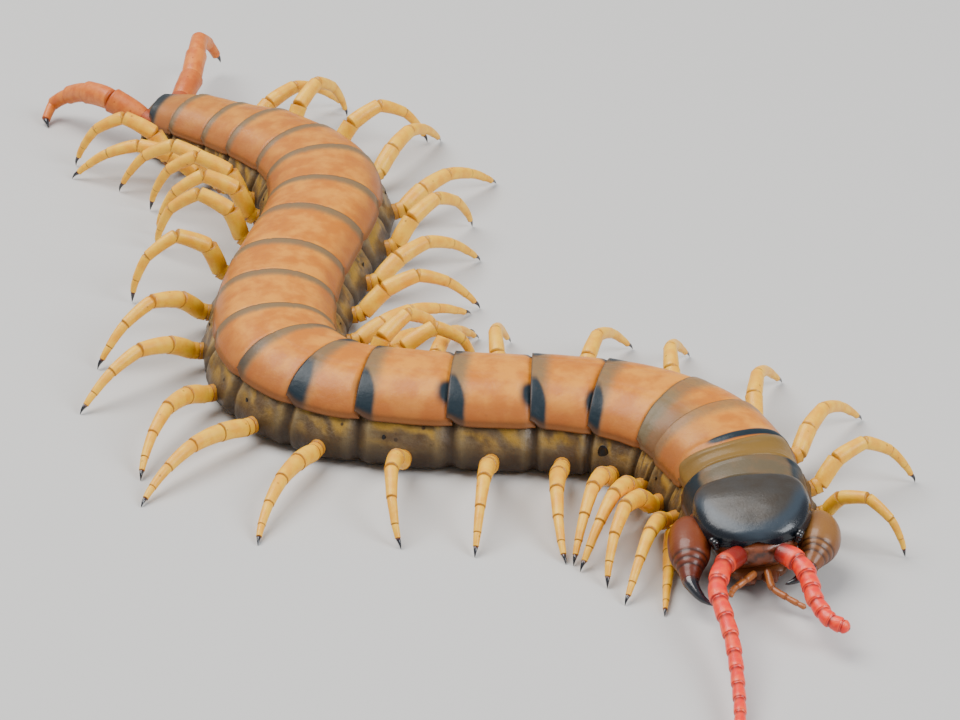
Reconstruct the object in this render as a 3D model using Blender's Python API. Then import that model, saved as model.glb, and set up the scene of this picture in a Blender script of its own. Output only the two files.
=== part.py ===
"""Mediterranean banded centipede at life size, still, in one winding walking stance.

Sizes are in millimetres and turn into metres when a mesh is made. The trunk follows a
path over the floor. Plates, legs, head, feelers and fangs are placed from that path.
"""

import math

import bmesh
import bpy
from mathutils import Vector

MODEL = "banded_centipede"
MM = 0.001
GAP = 0.3
WELD = 0.00001
UP = Vector((0.0, 0.0, 1.0))

# Trunk path: where the first back plate starts, then each plate's length and the
# direction in which the trunk runs tailward at its rear edge
TRUNK_START = Vector((27.85, -32.51, 0.0))
START_HEADING = 92
PLATE_LENGTHS = (3.0, 3.0, 5.2, 4.3, 7.4, 6.3, 7.2, 7.8, 4.4, 5.2, 5.0,
                 7.3, 6.5, 8.2, 6.8, 7.5, 5.6, 6.2, 4.6, 5.3, 4.4)
PLATE_HEADINGS = (99, 107, 119, 141, 165, 178, 175, 168, 144, 123, 98,
                  87, 80, 76, 84, 104, 128, 136, 141, 144, 158)
SEGMENTS = len(PLATE_LENGTHS)
SEGMENTS_PER_NODE = 3
# The front of the trunk leans towards the animal's right: place and degrees
TRUNK_ROLLS = ((0, 5.0), (3, 4.0), (6, 0.0))

# Trunk cross-section
FULL_WIDTH = 11.5
BACK_HEIGHT = 8.0
BACK_ARCH = 2.55
ARCH_ANGLE = math.radians(70)
BELLY_HEIGHTS = ((0, 0.7), (3, 0.6), (6, 0.3))
FLESH_DROP = 0.45
PLATE_THICKNESS = 0.9
WIDTHS = ((0, 9.8), (1, 10.3), (3, 11.5), (16, 11.5), (18, 10.4), (19, 9.0), (20, 8.2), (21, 6.6))

# Half of the flesh's outline from the back to the belly: how far out in widths, and how
# high as a part of a plate's side edge (above 1 the outline follows the arch instead)
FLESH_BACK = (0.0, 0.20, 0.38)
FLESH_FLANK = ((0.50, 0.84), (0.56, 0.55), (0.58, 0.22))
BELLY_HALF = 0.48

# One plate along its length: place, share of the full width, lift above the arch and how
# far its side edges hang
PLATE_ROWS = ((0.05, 0.88, -0.12, 0.0), (0.25, 1.0, 0.0, 0.5), (0.75, 1.0, 0.05, 0.6), (0.97, 0.93, 0.12, 0.0))
PLATE_COLUMNS = 6

# Legs: articles from the trochanter to the claw, their lengths and end radii
LEG_ARTICLES = ((0.7, 0.80, 0.82), (2.9, 0.85, 0.92), (3.5, 0.78, 0.80), (3.45, 0.62, 0.60),
                (2.6, 0.47, 0.43), (1.3, 0.38, 0.33), (1.0, 0.24, 0.16))
LEG_BEND = (0.0, 0.28, 0.68, 0.88, 0.96, 1.0)
HIP_RISE = 0.5
LEG_SIZES = ((1, 0.77), (2, 0.91), (3, 0.97), (5, 0.96), (8, 0.95), (10, 0.99), (14, 1.02), (17, 1.05),
             (20, 1.04))
HIP_HEIGHT = 1.8
HIP_OUT = 0.61
HIP_IN = 0.38
HIP_RADIUS = 0.78
HIP_TURN = 0.3
HIP_ROOT_HEIGHT = 1.4
HIP_NECK = 0.9
JOINT_STEP = 0.1
FOOT_HEIGHT = 0.15

# Stance of the leg pairs 1 to 20, for each side: turn towards the tail in degrees, reach,
# and how far the leg curls towards the tail (minus) or the head from its hip to its claw
STANCE = {
    "right": ((-79, 0.0, 0), (-58, 12.8, -9), (-51, 12.9, 26), (-25, 13.0, -12), (-12, 13.2, 0),
              (-12, 13.9, 22), (3, 13.2, -2), (-14, 12.7, 38), (-9, 14.6, 24), (-12, 14.8, 26),
              (-52, 14.3, 26), (-41, 13.9, 6), (-48, 12.9, 0), (-28, 9.5, 0), (0, 9.5, 0),
              (3, 10.0, 0), (36, 10.5, 0), (54, 12.0, 20), (58, 14.2, 12), (66, 11.0, 0)),
    "left": ((-28, 8.0, 34), (9, 10.9, -36), (31, 13.4, -25), (28, 13.3, -42), (11, 13.1, -50),
             (-22, 12.8, -45), (-7, 12.6, -45), (-16, 13.4, -30), (-44, 9.0, 0), (0, 10.0, 0),
             (22, 14.9, 12), (39, 14.8, 4), (30, 12.9, 0), (53, 13.8, 4), (63, 12.2, 28),
             (44, 14.8, 6), (38, 14.5, 10), (-8, 12.0, 3), (10, 11.3, 2), (-8, 13.9, 6)),
}
# The first right leg creeps forward under the fang: the rise of each of its articles
LOW_LEG = ("right", 1)
LOW_LEG_HIP = 2.3
LOW_LEG_RISES = (-12, -20, -3, -2, -3, -8, -30)

# Last legs: articles, and for each side the direction and rise of each article
LAST_LEG_ARTICLES = ((4.1, 1.25, 1.40), (4.2, 1.20, 1.25), (3.6, 1.05, 1.00),
                     (2.8, 0.80, 0.72), (2.2, 0.60, 0.50), (1.1, 0.34, 0.18))
LAST_HIP_HEIGHT = 3.1
LAST_HIP_SINK = 0.8
LAST_HIPS = {"right": (1.75, 0.0, 0.9), "left": (-1.9, -0.9, 2.1)}
LAST_LEG_RISES = {"right": (22, -6, -22, -34, -30, -24), "left": (12, 14, 6, -31, -55, -60)}
LAST_LEG_HEADINGS = {"right": (155, 134, 134, 150, 250, 290), "left": (78, 86, 88, 72, 52, 40)}

# Head, in its own frame: forward of the trunk, towards the right of its middle, up
HEAD_RINGS = ((0.15, 3.7, 1.5, 6.8), (1.4, 3.9, 1.4, 7.0), (4.2, 3.9, 1.4, 6.7),
              (6.4, 3.4, 1.8, 5.8), (7.4, 2.5, 2.5, 5.0), (8.1, 1.2, 3.1, 4.5))
SHIELD_ROWS = ((0.2, 4.35, 7.45), (1.2, 4.8, 7.65), (3.2, 4.95, 7.5), (5.4, 4.75, 6.9),
               (7.0, 4.0, 6.2), (8.0, 2.6, 5.6), (8.4, 1.2, 5.3))
SHIELD_ARCH = 1.75
SHIELD_THICKNESS = 0.8
JAW_RINGS = ((0.4, 3.8, 1.1, 3.0), (3.0, 3.6, 0.9, 3.0), (5.6, 3.0, 0.9, 2.6), (7.3, 2.2, 1.0, 2.0))
TOOTH_PLATE_OUT = 0.95
TOOTH_RINGS = ((6.4, 0.8, 1.0, 2.1), (8.2, 0.65, 1.0, 1.6))
EYE_PLACE = Vector((6.8, 3.35, 4.75))
OCELLUS_RADIUS = 0.34
OCELLI = ((0.0, 0.42, 0.26), (0.50, -0.18, 0.30), (-0.42, 0.0, -0.30), (0.08, -0.46, -0.26))

# Feelers: first radius, last radius, and the way of each in the head's frame
FEELER_SOCKET_DEPTH = 1.8
FEELER_WAYS = {
    "right": ((8.7, 2.1, 4.3), (10.0, 3.1, 4.5), (12.0, 3.7, 4.5), (13.8, 4.0, 4.2), (17.5, 3.6, 3.6),
              (20.3, 3.4, 3.0), (24.7, 3.5, 2.3), (29.0, 3.8, 1.8), (33.6, 4.6, 1.5), (37.6, 6.3, 1.3)),
    "left": ((8.8, -2.1, 4.3), (9.5, -2.8, 4.2), (10.8, -3.5, 3.9), (12.6, -3.8, 3.5),
             (14.2, -3.9, 3.2), (15.4, -4.3, 2.8), (16.8, -4.9, 2.5), (17.7, -6.4, 2.0)),
}
FEELER_ARTICLES = {"right": 18, "left": 8}
FEELER_RADII = {"right": (1.02, 0.34), "left": (1.02, 0.62)}

# Fangs: way of the middle line in the head's frame with the radius there
FANG_WAYS = {
    "right": ((2.4, 5.2, 3.7, 1.00), (3.4, 5.8, 3.8, 1.35), (4.9, 6.0, 3.8, 1.45), (7.4, 6.2, 3.6, 1.35),
              (9.4, 6.3, 3.1, 1.10), (10.3, 6.1, 2.9, 0.85), (11.5, 5.3, 2.4, 0.55), (12.1, 4.2, 1.9, 0.15)),
    "left": ((2.3, -5.2, 3.1, 1.05), (3.4, -5.8, 3.1, 1.40), (5.2, -5.8, 3.1, 1.45), (7.2, -5.2, 2.9, 1.30),
             (8.6, -4.4, 2.6, 1.05), (9.2, -3.9, 2.5, 0.80), (9.9, -2.9, 2.3, 0.50), (10.1, -1.9, 2.1, 0.15)),
}
FANG_HIP_DEPTH = 1.6

# Palps beside the mouth
PALP_WAYS = {
    "right": ((8.6, 0.8, 2.3), (9.3, 1.6, 2.2), (9.9, 2.4, 2.0), (10.7, 2.8, 1.8)),
    "left": ((8.7, -0.7, 2.2), (9.7, -0.9, 1.6), (10.8, -2.0, 1.2), (12.0, -3.4, 0.8)),
}
PALP_RADII = (0.42, 0.30)
PALP_ROOT_DEPTH = 2.2

# Finishes: base colour, roughness
FINISHES = {
    "plates": ((0.62, 0.28, 0.10, 1.0), 0.38),
    "head": ((0.20, 0.20, 0.22, 1.0), 0.25),
    "eye": ((0.01, 0.01, 0.015, 1.0), 0.12),
    "feeler": ((0.80, 0.12, 0.05, 1.0), 0.35),
    "fang": ((0.35, 0.06, 0.02, 1.0), 0.25),
    "palp": ((0.55, 0.22, 0.06, 1.0), 0.40),
    "leg": ((0.80, 0.45, 0.08, 1.0), 0.38),
    "last leg": ((0.75, 0.24, 0.08, 1.0), 0.38),
}


def clear_scene():
    """Remove whatever the start file holds."""
    for old in list(bpy.data.objects):
        bpy.data.objects.remove(old, do_unlink=True)


def finish(name):
    """One Principled material for each named finish."""
    material = bpy.data.materials.get(name)
    if material:
        return material
    colour, roughness = FINISHES[name]
    material = bpy.data.materials.new(name)
    material.use_nodes = True
    shader = material.node_tree.nodes["Principled BSDF"]
    shader.inputs["Base Color"].default_value = colour
    shader.inputs["Roughness"].default_value = roughness
    return material


def between(pairs, place):
    """Value at a place on a line drawn through pairs of place and value."""
    if place <= pairs[0][0]:
        return pairs[0][1]
    for (low, first), (high, second) in zip(pairs, pairs[1:]):
        if place <= high:
            return first + (second - first) * (place - low) / (high - low)
    return pairs[-1][1]


def flat_direction(degrees):
    """Unit vector along the floor."""
    angle = math.radians(degrees)
    return Vector((math.cos(angle), math.sin(angle), 0.0))


def sloped_direction(degrees, rise):
    """Unit vector with a heading over the floor and a rise above it."""
    slope = math.radians(rise)
    return flat_direction(degrees) * math.cos(slope) + UP * math.sin(slope)


def leaning(heading, roll):
    """Directions to the animal's right and over its back where it leans to its right."""
    flat = flat_direction(heading + 90)
    lean = math.radians(roll)
    return flat * math.cos(lean) - UP * math.sin(lean), UP * math.cos(lean) + flat * math.sin(lean)


def trunk_path():
    """Start point, heading and turn of every segment; each one is an arc of a circle."""
    arcs = []
    point = TRUNK_START.copy()
    heading = START_HEADING
    for length, end_heading in zip(PLATE_LENGTHS, PLATE_HEADINGS):
        arcs.append((point.copy(), heading, end_heading, length))
        point = arc_point(arcs[-1], 1.0)
        heading = end_heading
    return arcs


def arc_point(arc, part):
    """Point on one segment's arc, part of the way along it."""
    start, first, last, length = arc
    a = math.radians(first)
    turn = math.radians(last - first)
    if abs(turn) < 1e-6:
        return start + flat_direction(first) * length * part
    b = a + turn * part
    radius = length / turn
    return start + Vector((math.sin(b) - math.sin(a), math.cos(a) - math.cos(b), 0.0)) * radius


ARCS = trunk_path()


class Station:
    """A place on the trunk: its middle on the floor, its directions and its sizes."""

    def __init__(self, place):
        segment = min(int(place), SEGMENTS - 1)
        part = place - segment
        arc = ARCS[segment]
        self.heading = arc[1] + (arc[2] - arc[1]) * part
        self.middle = arc_point(arc, part)
        self.right, self.over = leaning(self.heading, between(TRUNK_ROLLS, place))
        self.width = between(WIDTHS, place)
        self.size = self.width / FULL_WIDTH
        self.back = BACK_HEIGHT * self.size ** 0.7
        self.arch = BACK_ARCH * self.size
        self.belly = between(BELLY_HEIGHTS, place)

    def at(self, out, up):
        return self.middle + self.right * out + self.over * up

    def arch_height(self, across):
        """Height of the back at a distance from its middle."""
        half = self.width / 2 / math.sin(ARCH_ANGLE)
        angle = math.asin(max(-1.0, min(1.0, across / half)))
        return self.back - self.arch * (1 - math.cos(angle)) / (1 - math.cos(ARCH_ANGLE))

    def flesh_ring(self, swell):
        """Closed outline of the soft body under the plates."""
        edge = self.back - self.arch
        half = [(out * self.width, self.arch_height(out * self.width) - FLESH_DROP)
                for out in FLESH_BACK]
        half += [(out * swell * self.width, high * edge) for out, high in FLESH_FLANK]
        half += [(BELLY_HALF * self.width, self.belly), (0.0, self.belly)]
        other = [(-across, high) for across, high in half[-2:0:-1]]
        return [self.at(across, high) for across, high in half + other]

    def plate_ring(self, share, lift, hang):
        """Closed outline of a back plate: its arch above and its sunk underside below."""
        half = self.width / 2 * share
        above = []
        for column in range(PLATE_COLUMNS + 1):
            angle = ARCH_ANGLE * (2 * column / PLATE_COLUMNS - 1)
            across = half * math.sin(angle) / math.sin(ARCH_ANGLE)
            above.append((across, self.arch_height(across) + lift - hang * abs(across / half) ** 6))
        below = [(across * 0.97, high - PLATE_THICKNESS) for across, high in reversed(above)]
        return [self.at(across, high) for across, high in above + below]


def place_of(segment, millimetres):
    """Place on the trunk a distance past the front edge of a segment."""
    return segment + millimetres / PLATE_LENGTHS[segment]


def placed(name, data, location):
    """New object in the model's collection, carried by the model's empty."""
    piece = bpy.data.objects.new(name, data)
    piece.location = location
    piece.parent = STAND
    PARTS.objects.link(piece)
    return piece


def loft(name, rings, material=None):
    """Closed mesh through rings of equally many points, with both ends filled."""
    origin = sum(rings[0], Vector()) / len(rings[0])
    mesh = bpy.data.meshes.new(name)
    bm = bmesh.new()
    rows = [[bm.verts.new((point - origin) * MM) for point in ring] for ring in rings]
    count = len(rows[0])
    for near, far in zip(rows, rows[1:]):
        for i in range(count):
            j = (i + 1) % count
            bm.faces.new((near[i], near[j], far[j], far[i]))
    bm.faces.new(rows[0])
    bm.faces.new(rows[-1])
    bmesh.ops.recalc_face_normals(bm, faces=bm.faces)
    bm.to_mesh(mesh)
    bm.free()
    if material:
        mesh.materials.append(finish(material))
    return placed(name, mesh, origin * MM)


def tube(name, points, radii, resolution, material=None):
    """Round rod through points, with its own radius in millimetres at each one."""
    curve = bpy.data.curves.new(name, "CURVE")
    curve.dimensions = "3D"
    curve.bevel_depth = MM
    curve.bevel_resolution = resolution
    curve.use_fill_caps = True
    curve.twist_mode = "MINIMUM"
    spline = curve.splines.new("POLY")
    spline.points.add(len(points) - 1)
    for knot, point, radius in zip(spline.points, points, radii):
        knot.co = (*((point - points[0]) * MM), 1.0)
        knot.radius = radius
    if material:
        curve.materials.append(finish(material))
    return placed(name, curve, points[0] * MM)


def solid(piece):
    """Mesh object with the shape of a rod, its end caps welded on."""
    bpy.context.view_layer.update()
    seen = piece.evaluated_get(bpy.context.evaluated_depsgraph_get())
    mesh = bpy.data.meshes.new_from_object(seen)
    bm = bmesh.new()
    bm.from_mesh(mesh)
    bmesh.ops.remove_doubles(bm, verts=bm.verts, dist=WELD)
    bm.to_mesh(mesh)
    bm.free()
    whole = placed(piece.name, mesh, piece.location)
    bpy.data.objects.remove(piece, do_unlink=True)
    return whole


def stub(name, start, end, first, last, resolution=1):
    """Short straight rod that is fused into a larger piece."""
    return solid(tube(name, (start, end), (first, last), resolution))


def join(name, pieces, material):
    """Fuse closed pieces into one body and keep its largest closed surface."""
    base = pieces[0]
    fused = bpy.data.collections.new(name + " pieces")
    bpy.context.scene.collection.children.link(fused)
    for piece in pieces[1:]:
        PARTS.objects.unlink(piece)
        fused.objects.link(piece)
    union = base.modifiers.new("fuse", "BOOLEAN")
    union.operation = "UNION"
    union.operand_type = "COLLECTION"
    union.collection = fused
    union.solver = "EXACT"
    bpy.context.view_layer.update()
    seen = base.evaluated_get(bpy.context.evaluated_depsgraph_get())
    mesh = bpy.data.meshes.new_from_object(seen)
    location = base.location.copy()
    for piece in pieces:
        bpy.data.objects.remove(piece, do_unlink=True)
    bpy.data.collections.remove(fused)
    keep_largest(mesh)
    mesh.name = name
    mesh.materials.clear()
    mesh.materials.append(finish(material))
    return placed(name, mesh, location)


def keep_largest(mesh):
    """Drop every closed surface but the one with most faces."""
    bm = bmesh.new()
    bm.from_mesh(mesh)
    bmesh.ops.remove_doubles(bm, verts=bm.verts, dist=WELD)
    left = set(bm.faces)
    shells = []
    while left:
        stack = [left.pop()]
        shell = set(stack)
        while stack:
            face = stack.pop()
            for edge in face.edges:
                for other in edge.link_faces:
                    if other in left:
                        left.discard(other)
                        shell.add(other)
                        stack.append(other)
        shells.append(shell)
    shells.sort(key=len)
    loose = [face for shell in shells[:-1] for face in shell]
    bmesh.ops.delete(bm, geom=loose, context="FACES")
    bm.to_mesh(mesh)
    bm.free()


def smooth(piece, degrees=35):
    """Shade a rounded piece smooth between its sharp edges."""
    piece.data.shade_smooth()
    piece.data.set_sharp_from_angle(angle=math.radians(degrees))


def sideways(side):
    """One for the animal's right, minus one for its left."""
    return 1 if side == "right" else -1


def posture(lengths, reach, drop):
    """Rises of the articles that carry a foot out to a reach and down by a drop."""
    rise, fall = 0.5, 1.5

    def rises(rise, fall):
        return [rise * HIP_RISE] + [rise - fall * share for share in LEG_BEND]

    def miss(rise, fall):
        angles = rises(rise, fall)
        out = sum(length * math.cos(angle) for length, angle in zip(lengths, angles))
        up = sum(length * math.sin(angle) for length, angle in zip(lengths, angles))
        return out - reach, up + drop

    step = 1e-5
    for _ in range(40):
        a, b = miss(rise, fall)
        a_rise, b_rise = (v - w for v, w in zip(miss(rise + step, fall), (a, b)))
        a_fall, b_fall = (v - w for v, w in zip(miss(rise, fall + step), (a, b)))
        scale = (a_rise * b_fall - a_fall * b_rise) / step
        if abs(scale) < 1e-9:
            break
        rise -= (a * b_fall - b * a_fall) / scale
        fall -= (b * a_rise - a * b_rise) / scale
    return [math.degrees(angle) for angle in rises(rise, fall)]


def leg_plan(side, number):
    """Hip end of one walking leg, and the direction and length of each of its articles."""
    station = Station(number - 0.5)
    size = between(LEG_SIZES, number)
    sign = sideways(side)
    turn, reach, curl = STANCE[side][number - 1]
    outward = station.heading + 90 * sign
    swing = (HIP_OUT - HIP_IN) * station.width * math.tan(math.radians(turn * HIP_TURN))
    low = (side, number) == LOW_LEG
    end = station.at(sign * HIP_OUT * station.width, LOW_LEG_HIP if low else HIP_HEIGHT * math.sqrt(station.size))
    end += flat_direction(station.heading) * swing
    lengths = [article[0] * size for article in LEG_ARTICLES]
    rises = LOW_LEG_RISES if low else posture(lengths, reach, end.z)
    ways = [sloped_direction(outward - turn * HIP_TURN * sign, rises[0])]
    for i, rise in enumerate(rises[1:]):
        ways.append(sloped_direction(outward - turn * sign + curl * (i / 5 - 0.5), rise))
    return end, ways, lengths


def hip_piece(side, number):
    """Short hip that stands out of the flank and carries one leg."""
    end, ways, _ = leg_plan(side, number)
    along = ways[0]
    radius = HIP_RADIUS * between(LEG_SIZES, number)
    length = (HIP_OUT - HIP_IN) * Station(number - 0.5).width
    root = end - along * length
    root.z = max(root.z, HIP_ROOT_HEIGHT)
    return solid(tube("hip", (root, end - along * HIP_NECK, end), (radius, radius, radius), 1))


def trunk_length(index):
    """One length of the trunk: soft body, three raised back plates and six hips."""
    first = index * SEGMENTS_PER_NODE
    last = first + SEGMENTS_PER_NODE - 1
    places = [(place_of(first, GAP / 2), 0.94)]
    for segment in range(first, last + 1):
        places.append((segment + 0.5, 1.0))
        if segment < last:
            places.append((segment + 1.0, 0.94))
    places.append((place_of(last, PLATE_LENGTHS[last] - GAP / 2), 0.94))
    pieces = [loft("flesh", [Station(place).flesh_ring(swell) for place, swell in places])]
    for segment in range(first, last + 1):
        rows = []
        for part, share, lift, hang in PLATE_ROWS:
            station = Station(segment + part)
            rows.append(station.plate_ring(share, lift, hang))
        pieces.append(loft("plate", rows))
        number = segment + 1
        if number < SEGMENTS:
            pieces += [hip_piece(side, number) for side in STANCE]
    if last == SEGMENTS - 1:
        pieces += [last_hip(side) for side in STANCE]
    smooth(join(f"trunk_{index + 1}", pieces, "plates"))


def limb(name, joints, radii, resolution, material, foot=False):
    """Jointed rod: each article widens or narrows along itself, with a step at each joint."""
    points = []
    sizes = []
    for i, (near, far) in enumerate(radii):
        along = (joints[i + 1] - joints[i]).normalized()
        points.append(joints[i] + along * (JOINT_STEP if i else 0.0))
        points.append(joints[i + 1] - along * (JOINT_STEP if i + 1 < len(radii) else 0.0))
        sizes += [near, far]
    if foot:
        points[-1].z = FOOT_HEIGHT
        points.append(points[-1] - UP * FOOT_HEIGHT)
        sizes.append(sizes[-1])
    return tube(name, points, sizes, resolution, material)


def walking_leg(side, number):
    """Jointed leg from its hip to a claw whose small flat end stands on the floor."""
    end, ways, lengths = leg_plan(side, number)
    joints = [end + ways[0] * GAP]
    for way, length in zip(ways, lengths):
        joints.append(joints[-1] + way * length)
    size = between(LEG_SIZES, number)
    radii = [(near * size, far * size) for _, near, far in LEG_ARTICLES]
    limb(f"leg_{side}_{number:02d}", joints, radii, 1, "leg", foot=True)


def last_hip_line(side):
    """Root, end and direction of the hip that carries a last leg behind the trunk."""
    station = Station(SEGMENTS)
    out, back, length = LAST_HIPS[side]
    along = sloped_direction(LAST_LEG_HEADINGS[side][0], LAST_LEG_RISES[side][0])
    root = station.at(out, LAST_HIP_HEIGHT) + flat_direction(station.heading) * back
    return root, root + along * length, along


def last_hip(side):
    """Hip of a last leg, which stands out of the rear end."""
    root, end, along = last_hip_line(side)
    radius = LAST_LEG_ARTICLES[0][1]
    return stub("hip", root - along * LAST_HIP_SINK, end, radius, radius, 2)


def last_leg(side):
    """Thick last leg, carried off the floor to near its tip."""
    _, end, along = last_hip_line(side)
    joints = [end + along * GAP]
    for (length, _, _), heading, rise in zip(LAST_LEG_ARTICLES, LAST_LEG_HEADINGS[side], LAST_LEG_RISES[side]):
        joints.append(joints[-1] + sloped_direction(heading, rise) * length)
    radii = [(near, far) for _, near, far in LAST_LEG_ARTICLES]
    limb(f"leg_{side}_{SEGMENTS:02d}", joints, radii, 2, "last leg", foot=True)


def head_point(place):
    """Point in the head's own frame: forward, right, up."""
    forward, right, up = place
    ahead = -flat_direction(START_HEADING)
    sideway, over = leaning(START_HEADING, TRUNK_ROLLS[0][1])
    return TRUNK_START + ahead * forward + sideway * right + over * up


def oval_ring(forward, half, low, high, points=14, middle=0.0):
    """Rounded upright outline of a head piece at one place along it."""
    ring = []
    for i in range(points):
        angle = 2 * math.pi * i / points
        across = math.copysign(abs(math.cos(angle)) ** 0.75, math.cos(angle)) * half
        up = math.copysign(abs(math.sin(angle)) ** 0.75, math.sin(angle))
        ring.append(head_point((forward, middle + across, (low + high) / 2 + up * (high - low) / 2)))
    return ring


def shield_ring(forward, half, top, columns=8):
    """Outline of the head shield: arched above, sunk below."""
    above = []
    for column in range(columns + 1):
        share = 2 * column / columns - 1
        above.append((half * math.sin(share * math.pi / 2), top - SHIELD_ARCH * (half / 4.9) * abs(share) ** 2.2))
    below = [(across * 0.96, high - SHIELD_THICKNESS) for across, high in reversed(above)]
    return [head_point((forward, across, high)) for across, high in above + below]


def eye_centre(side):
    """Middle of a group of eyes, on the side of the head near its front."""
    forward, out, up = EYE_PLACE
    return Vector((forward, sideways(side) * out, up))


def root_stub(name, way, depth, radius, resolution=2):
    """Short stub that ends a gap before a limb and runs along the limb's first stretch."""
    first, second = (head_point(place[:3]) for place in way[:2])
    along = (second - first).normalized()
    return stub(name, first - along * depth, first - along * GAP, radius * 1.05, radius, resolution)


def head():
    """Head capsule, its shield, the jaw plate below and the stubs that carry the feelers and fangs."""
    pieces = [loft("capsule", [oval_ring(*ring) for ring in HEAD_RINGS])]
    pieces.append(loft("shield", [shield_ring(*row) for row in SHIELD_ROWS]))
    pieces.append(loft("jaw", [oval_ring(*ring, points=10) for ring in JAW_RINGS]))
    for side in STANCE:
        middle = TOOTH_PLATE_OUT * sideways(side)
        pieces.append(loft("tooth plate", [oval_ring(*ring, points=8, middle=middle) for ring in TOOTH_RINGS]))
        pieces.append(root_stub("fang hip", FANG_WAYS[side], FANG_HIP_DEPTH, FANG_WAYS[side][0][3]))
        pieces.append(root_stub("feeler socket", FEELER_WAYS[side], FEELER_SOCKET_DEPTH, FEELER_RADII[side][0] * 0.9))
        pieces.append(root_stub("palp root", PALP_WAYS[side], PALP_ROOT_DEPTH, PALP_RADII[0], 1))
    whole = join("head", pieces, "head")
    for side in STANCE:
        carve(whole, eye_group(side, "eye socket", OCELLUS_RADIUS + GAP))
    smooth(whole)


def ball(centre, radius, segments=6, rings=4):
    """Small closed ball."""
    mesh = bpy.data.meshes.new("ball")
    bm = bmesh.new()
    bmesh.ops.create_uvsphere(bm, u_segments=segments, v_segments=rings, radius=radius * MM)
    bm.to_mesh(mesh)
    bm.free()
    return placed("ball", mesh, centre * MM)


def eye_group(side, name, radius):
    """Four eyes in a group round one small mound."""
    centre = eye_centre(side)
    sign = sideways(side)
    pieces = [ball(head_point(centre), radius * 1.15)]
    for forward, out, up in OCELLI:
        pieces.append(ball(head_point(centre + Vector((forward, sign * (0.25 + out * 0.3), up))), radius))
    return join(name, pieces, "eye")


def carve(whole, cutter):
    """Cut one closed piece out of another with a live Boolean."""
    PARTS.objects.unlink(cutter)
    CUTTERS.objects.link(cutter)
    cutter.hide_render = True
    cutter.display_type = "WIRE"
    cut = whole.modifiers.new("socket", "BOOLEAN")
    cut.operation = "DIFFERENCE"
    cut.object = cutter
    cut.solver = "EXACT"


def smooth_way(points, samples):
    """Points evenly spread along a smooth curve through a few given ones."""
    dense = []
    steps = 12
    count = len(points)
    for i in range(count - 1):
        before = points[max(i - 1, 0)]
        after = points[min(i + 2, count - 1)]
        near, far = points[i], points[i + 1]
        for k in range(steps):
            t = k / steps
            dense.append(0.5 * (2 * near + (far - before) * t
                                + (2 * before - 5 * near + 4 * far - after) * t ** 2
                                + (3 * near - before - 3 * far + after) * t ** 3))
    dense.append(points[-1])
    lengths = [0.0]
    for a, b in zip(dense, dense[1:]):
        lengths.append(lengths[-1] + (b - a).length)
    spread = []
    for k in range(samples):
        goal = lengths[-1] * k / (samples - 1)
        i = max(j for j in range(len(lengths)) if lengths[j] <= goal + 1e-9)
        i = min(i, len(dense) - 2)
        part = (goal - lengths[i]) / (lengths[i + 1] - lengths[i])
        spread.append(dense[i].lerp(dense[i + 1], part))
    return spread


def feeler(side):
    """Beaded feeler: each article swells past its middle and narrows at its joint."""
    way = [head_point(place) for place in FEELER_WAYS[side]]
    count = FEELER_ARTICLES[side]
    joints = smooth_way(way, count + 1)
    first, last = FEELER_RADII[side]
    radii = []
    for i in range(count):
        radius = first + (last - first) * (i / count) ** 0.75
        radii.append((radius * 0.82, radius))
    limb(f"antenna_{side}", joints, radii, 1, "feeler")


def fang(side):
    """Poison fang: a swollen base that curls in to a sharp tip."""
    way = FANG_WAYS[side]
    tube(f"forcipule_{side}", [head_point(place[:3]) for place in way], [place[3] for place in way], 2, "fang")


def palp(side):
    """Slender jointed palp beside the mouth."""
    joints = [head_point(place) for place in PALP_WAYS[side]]
    first, last = PALP_RADII
    count = len(joints) - 1
    radii = []
    for i in range(count):
        radius = first + (last - first) * i / count
        radii.append((radius * 0.8, radius))
    limb(f"palp_{side}", joints, radii, 1, "palp")


def build():
    """All parts, from the head to the last legs."""
    head()
    for side in STANCE:
        eye_group(side, f"eyes_{side}", OCELLUS_RADIUS)
        feeler(side)
        fang(side)
        palp(side)
        for number in range(1, SEGMENTS):
            walking_leg(side, number)
        last_leg(side)
    for index in range(SEGMENTS // SEGMENTS_PER_NODE):
        trunk_length(index)


clear_scene()
PARTS = bpy.data.collections.new(MODEL)
CUTTERS = bpy.data.collections.new("cutters")
STAND = bpy.data.objects.new(MODEL, None)
PARTS.objects.link(STAND)
bpy.context.scene.collection.children.link(PARTS)
bpy.context.scene.collection.children.link(CUTTERS)
build()
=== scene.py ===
"""Mediterranean banded centipede, still, at life size: skin, back plates, head, fangs, feelers and legs.

Sizes are in millimetres in the classes and become metres when a mesh is made. The trunk
follows a path over the floor, and every piece is placed from that path.
"""

import itertools
import logging
import math
from dataclasses import dataclass
from enum import Enum

import bpy
import numpy as np
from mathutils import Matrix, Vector


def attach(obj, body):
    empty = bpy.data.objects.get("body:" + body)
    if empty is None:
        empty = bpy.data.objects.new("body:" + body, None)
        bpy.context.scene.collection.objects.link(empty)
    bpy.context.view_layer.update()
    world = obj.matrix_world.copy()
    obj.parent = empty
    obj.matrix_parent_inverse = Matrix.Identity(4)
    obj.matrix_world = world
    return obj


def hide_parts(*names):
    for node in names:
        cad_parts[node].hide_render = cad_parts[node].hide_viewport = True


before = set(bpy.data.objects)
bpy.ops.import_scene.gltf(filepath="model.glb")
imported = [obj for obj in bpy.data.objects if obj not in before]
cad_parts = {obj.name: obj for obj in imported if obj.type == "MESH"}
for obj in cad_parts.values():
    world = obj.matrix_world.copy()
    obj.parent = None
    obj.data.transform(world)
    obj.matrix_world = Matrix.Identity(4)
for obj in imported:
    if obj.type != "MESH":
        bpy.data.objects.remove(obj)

LOG = logging.getLogger("centipede")
MM = 0.001
UP = np.array((0.0, 0.0, 1.0))
SEGMENTS = 21
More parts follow.
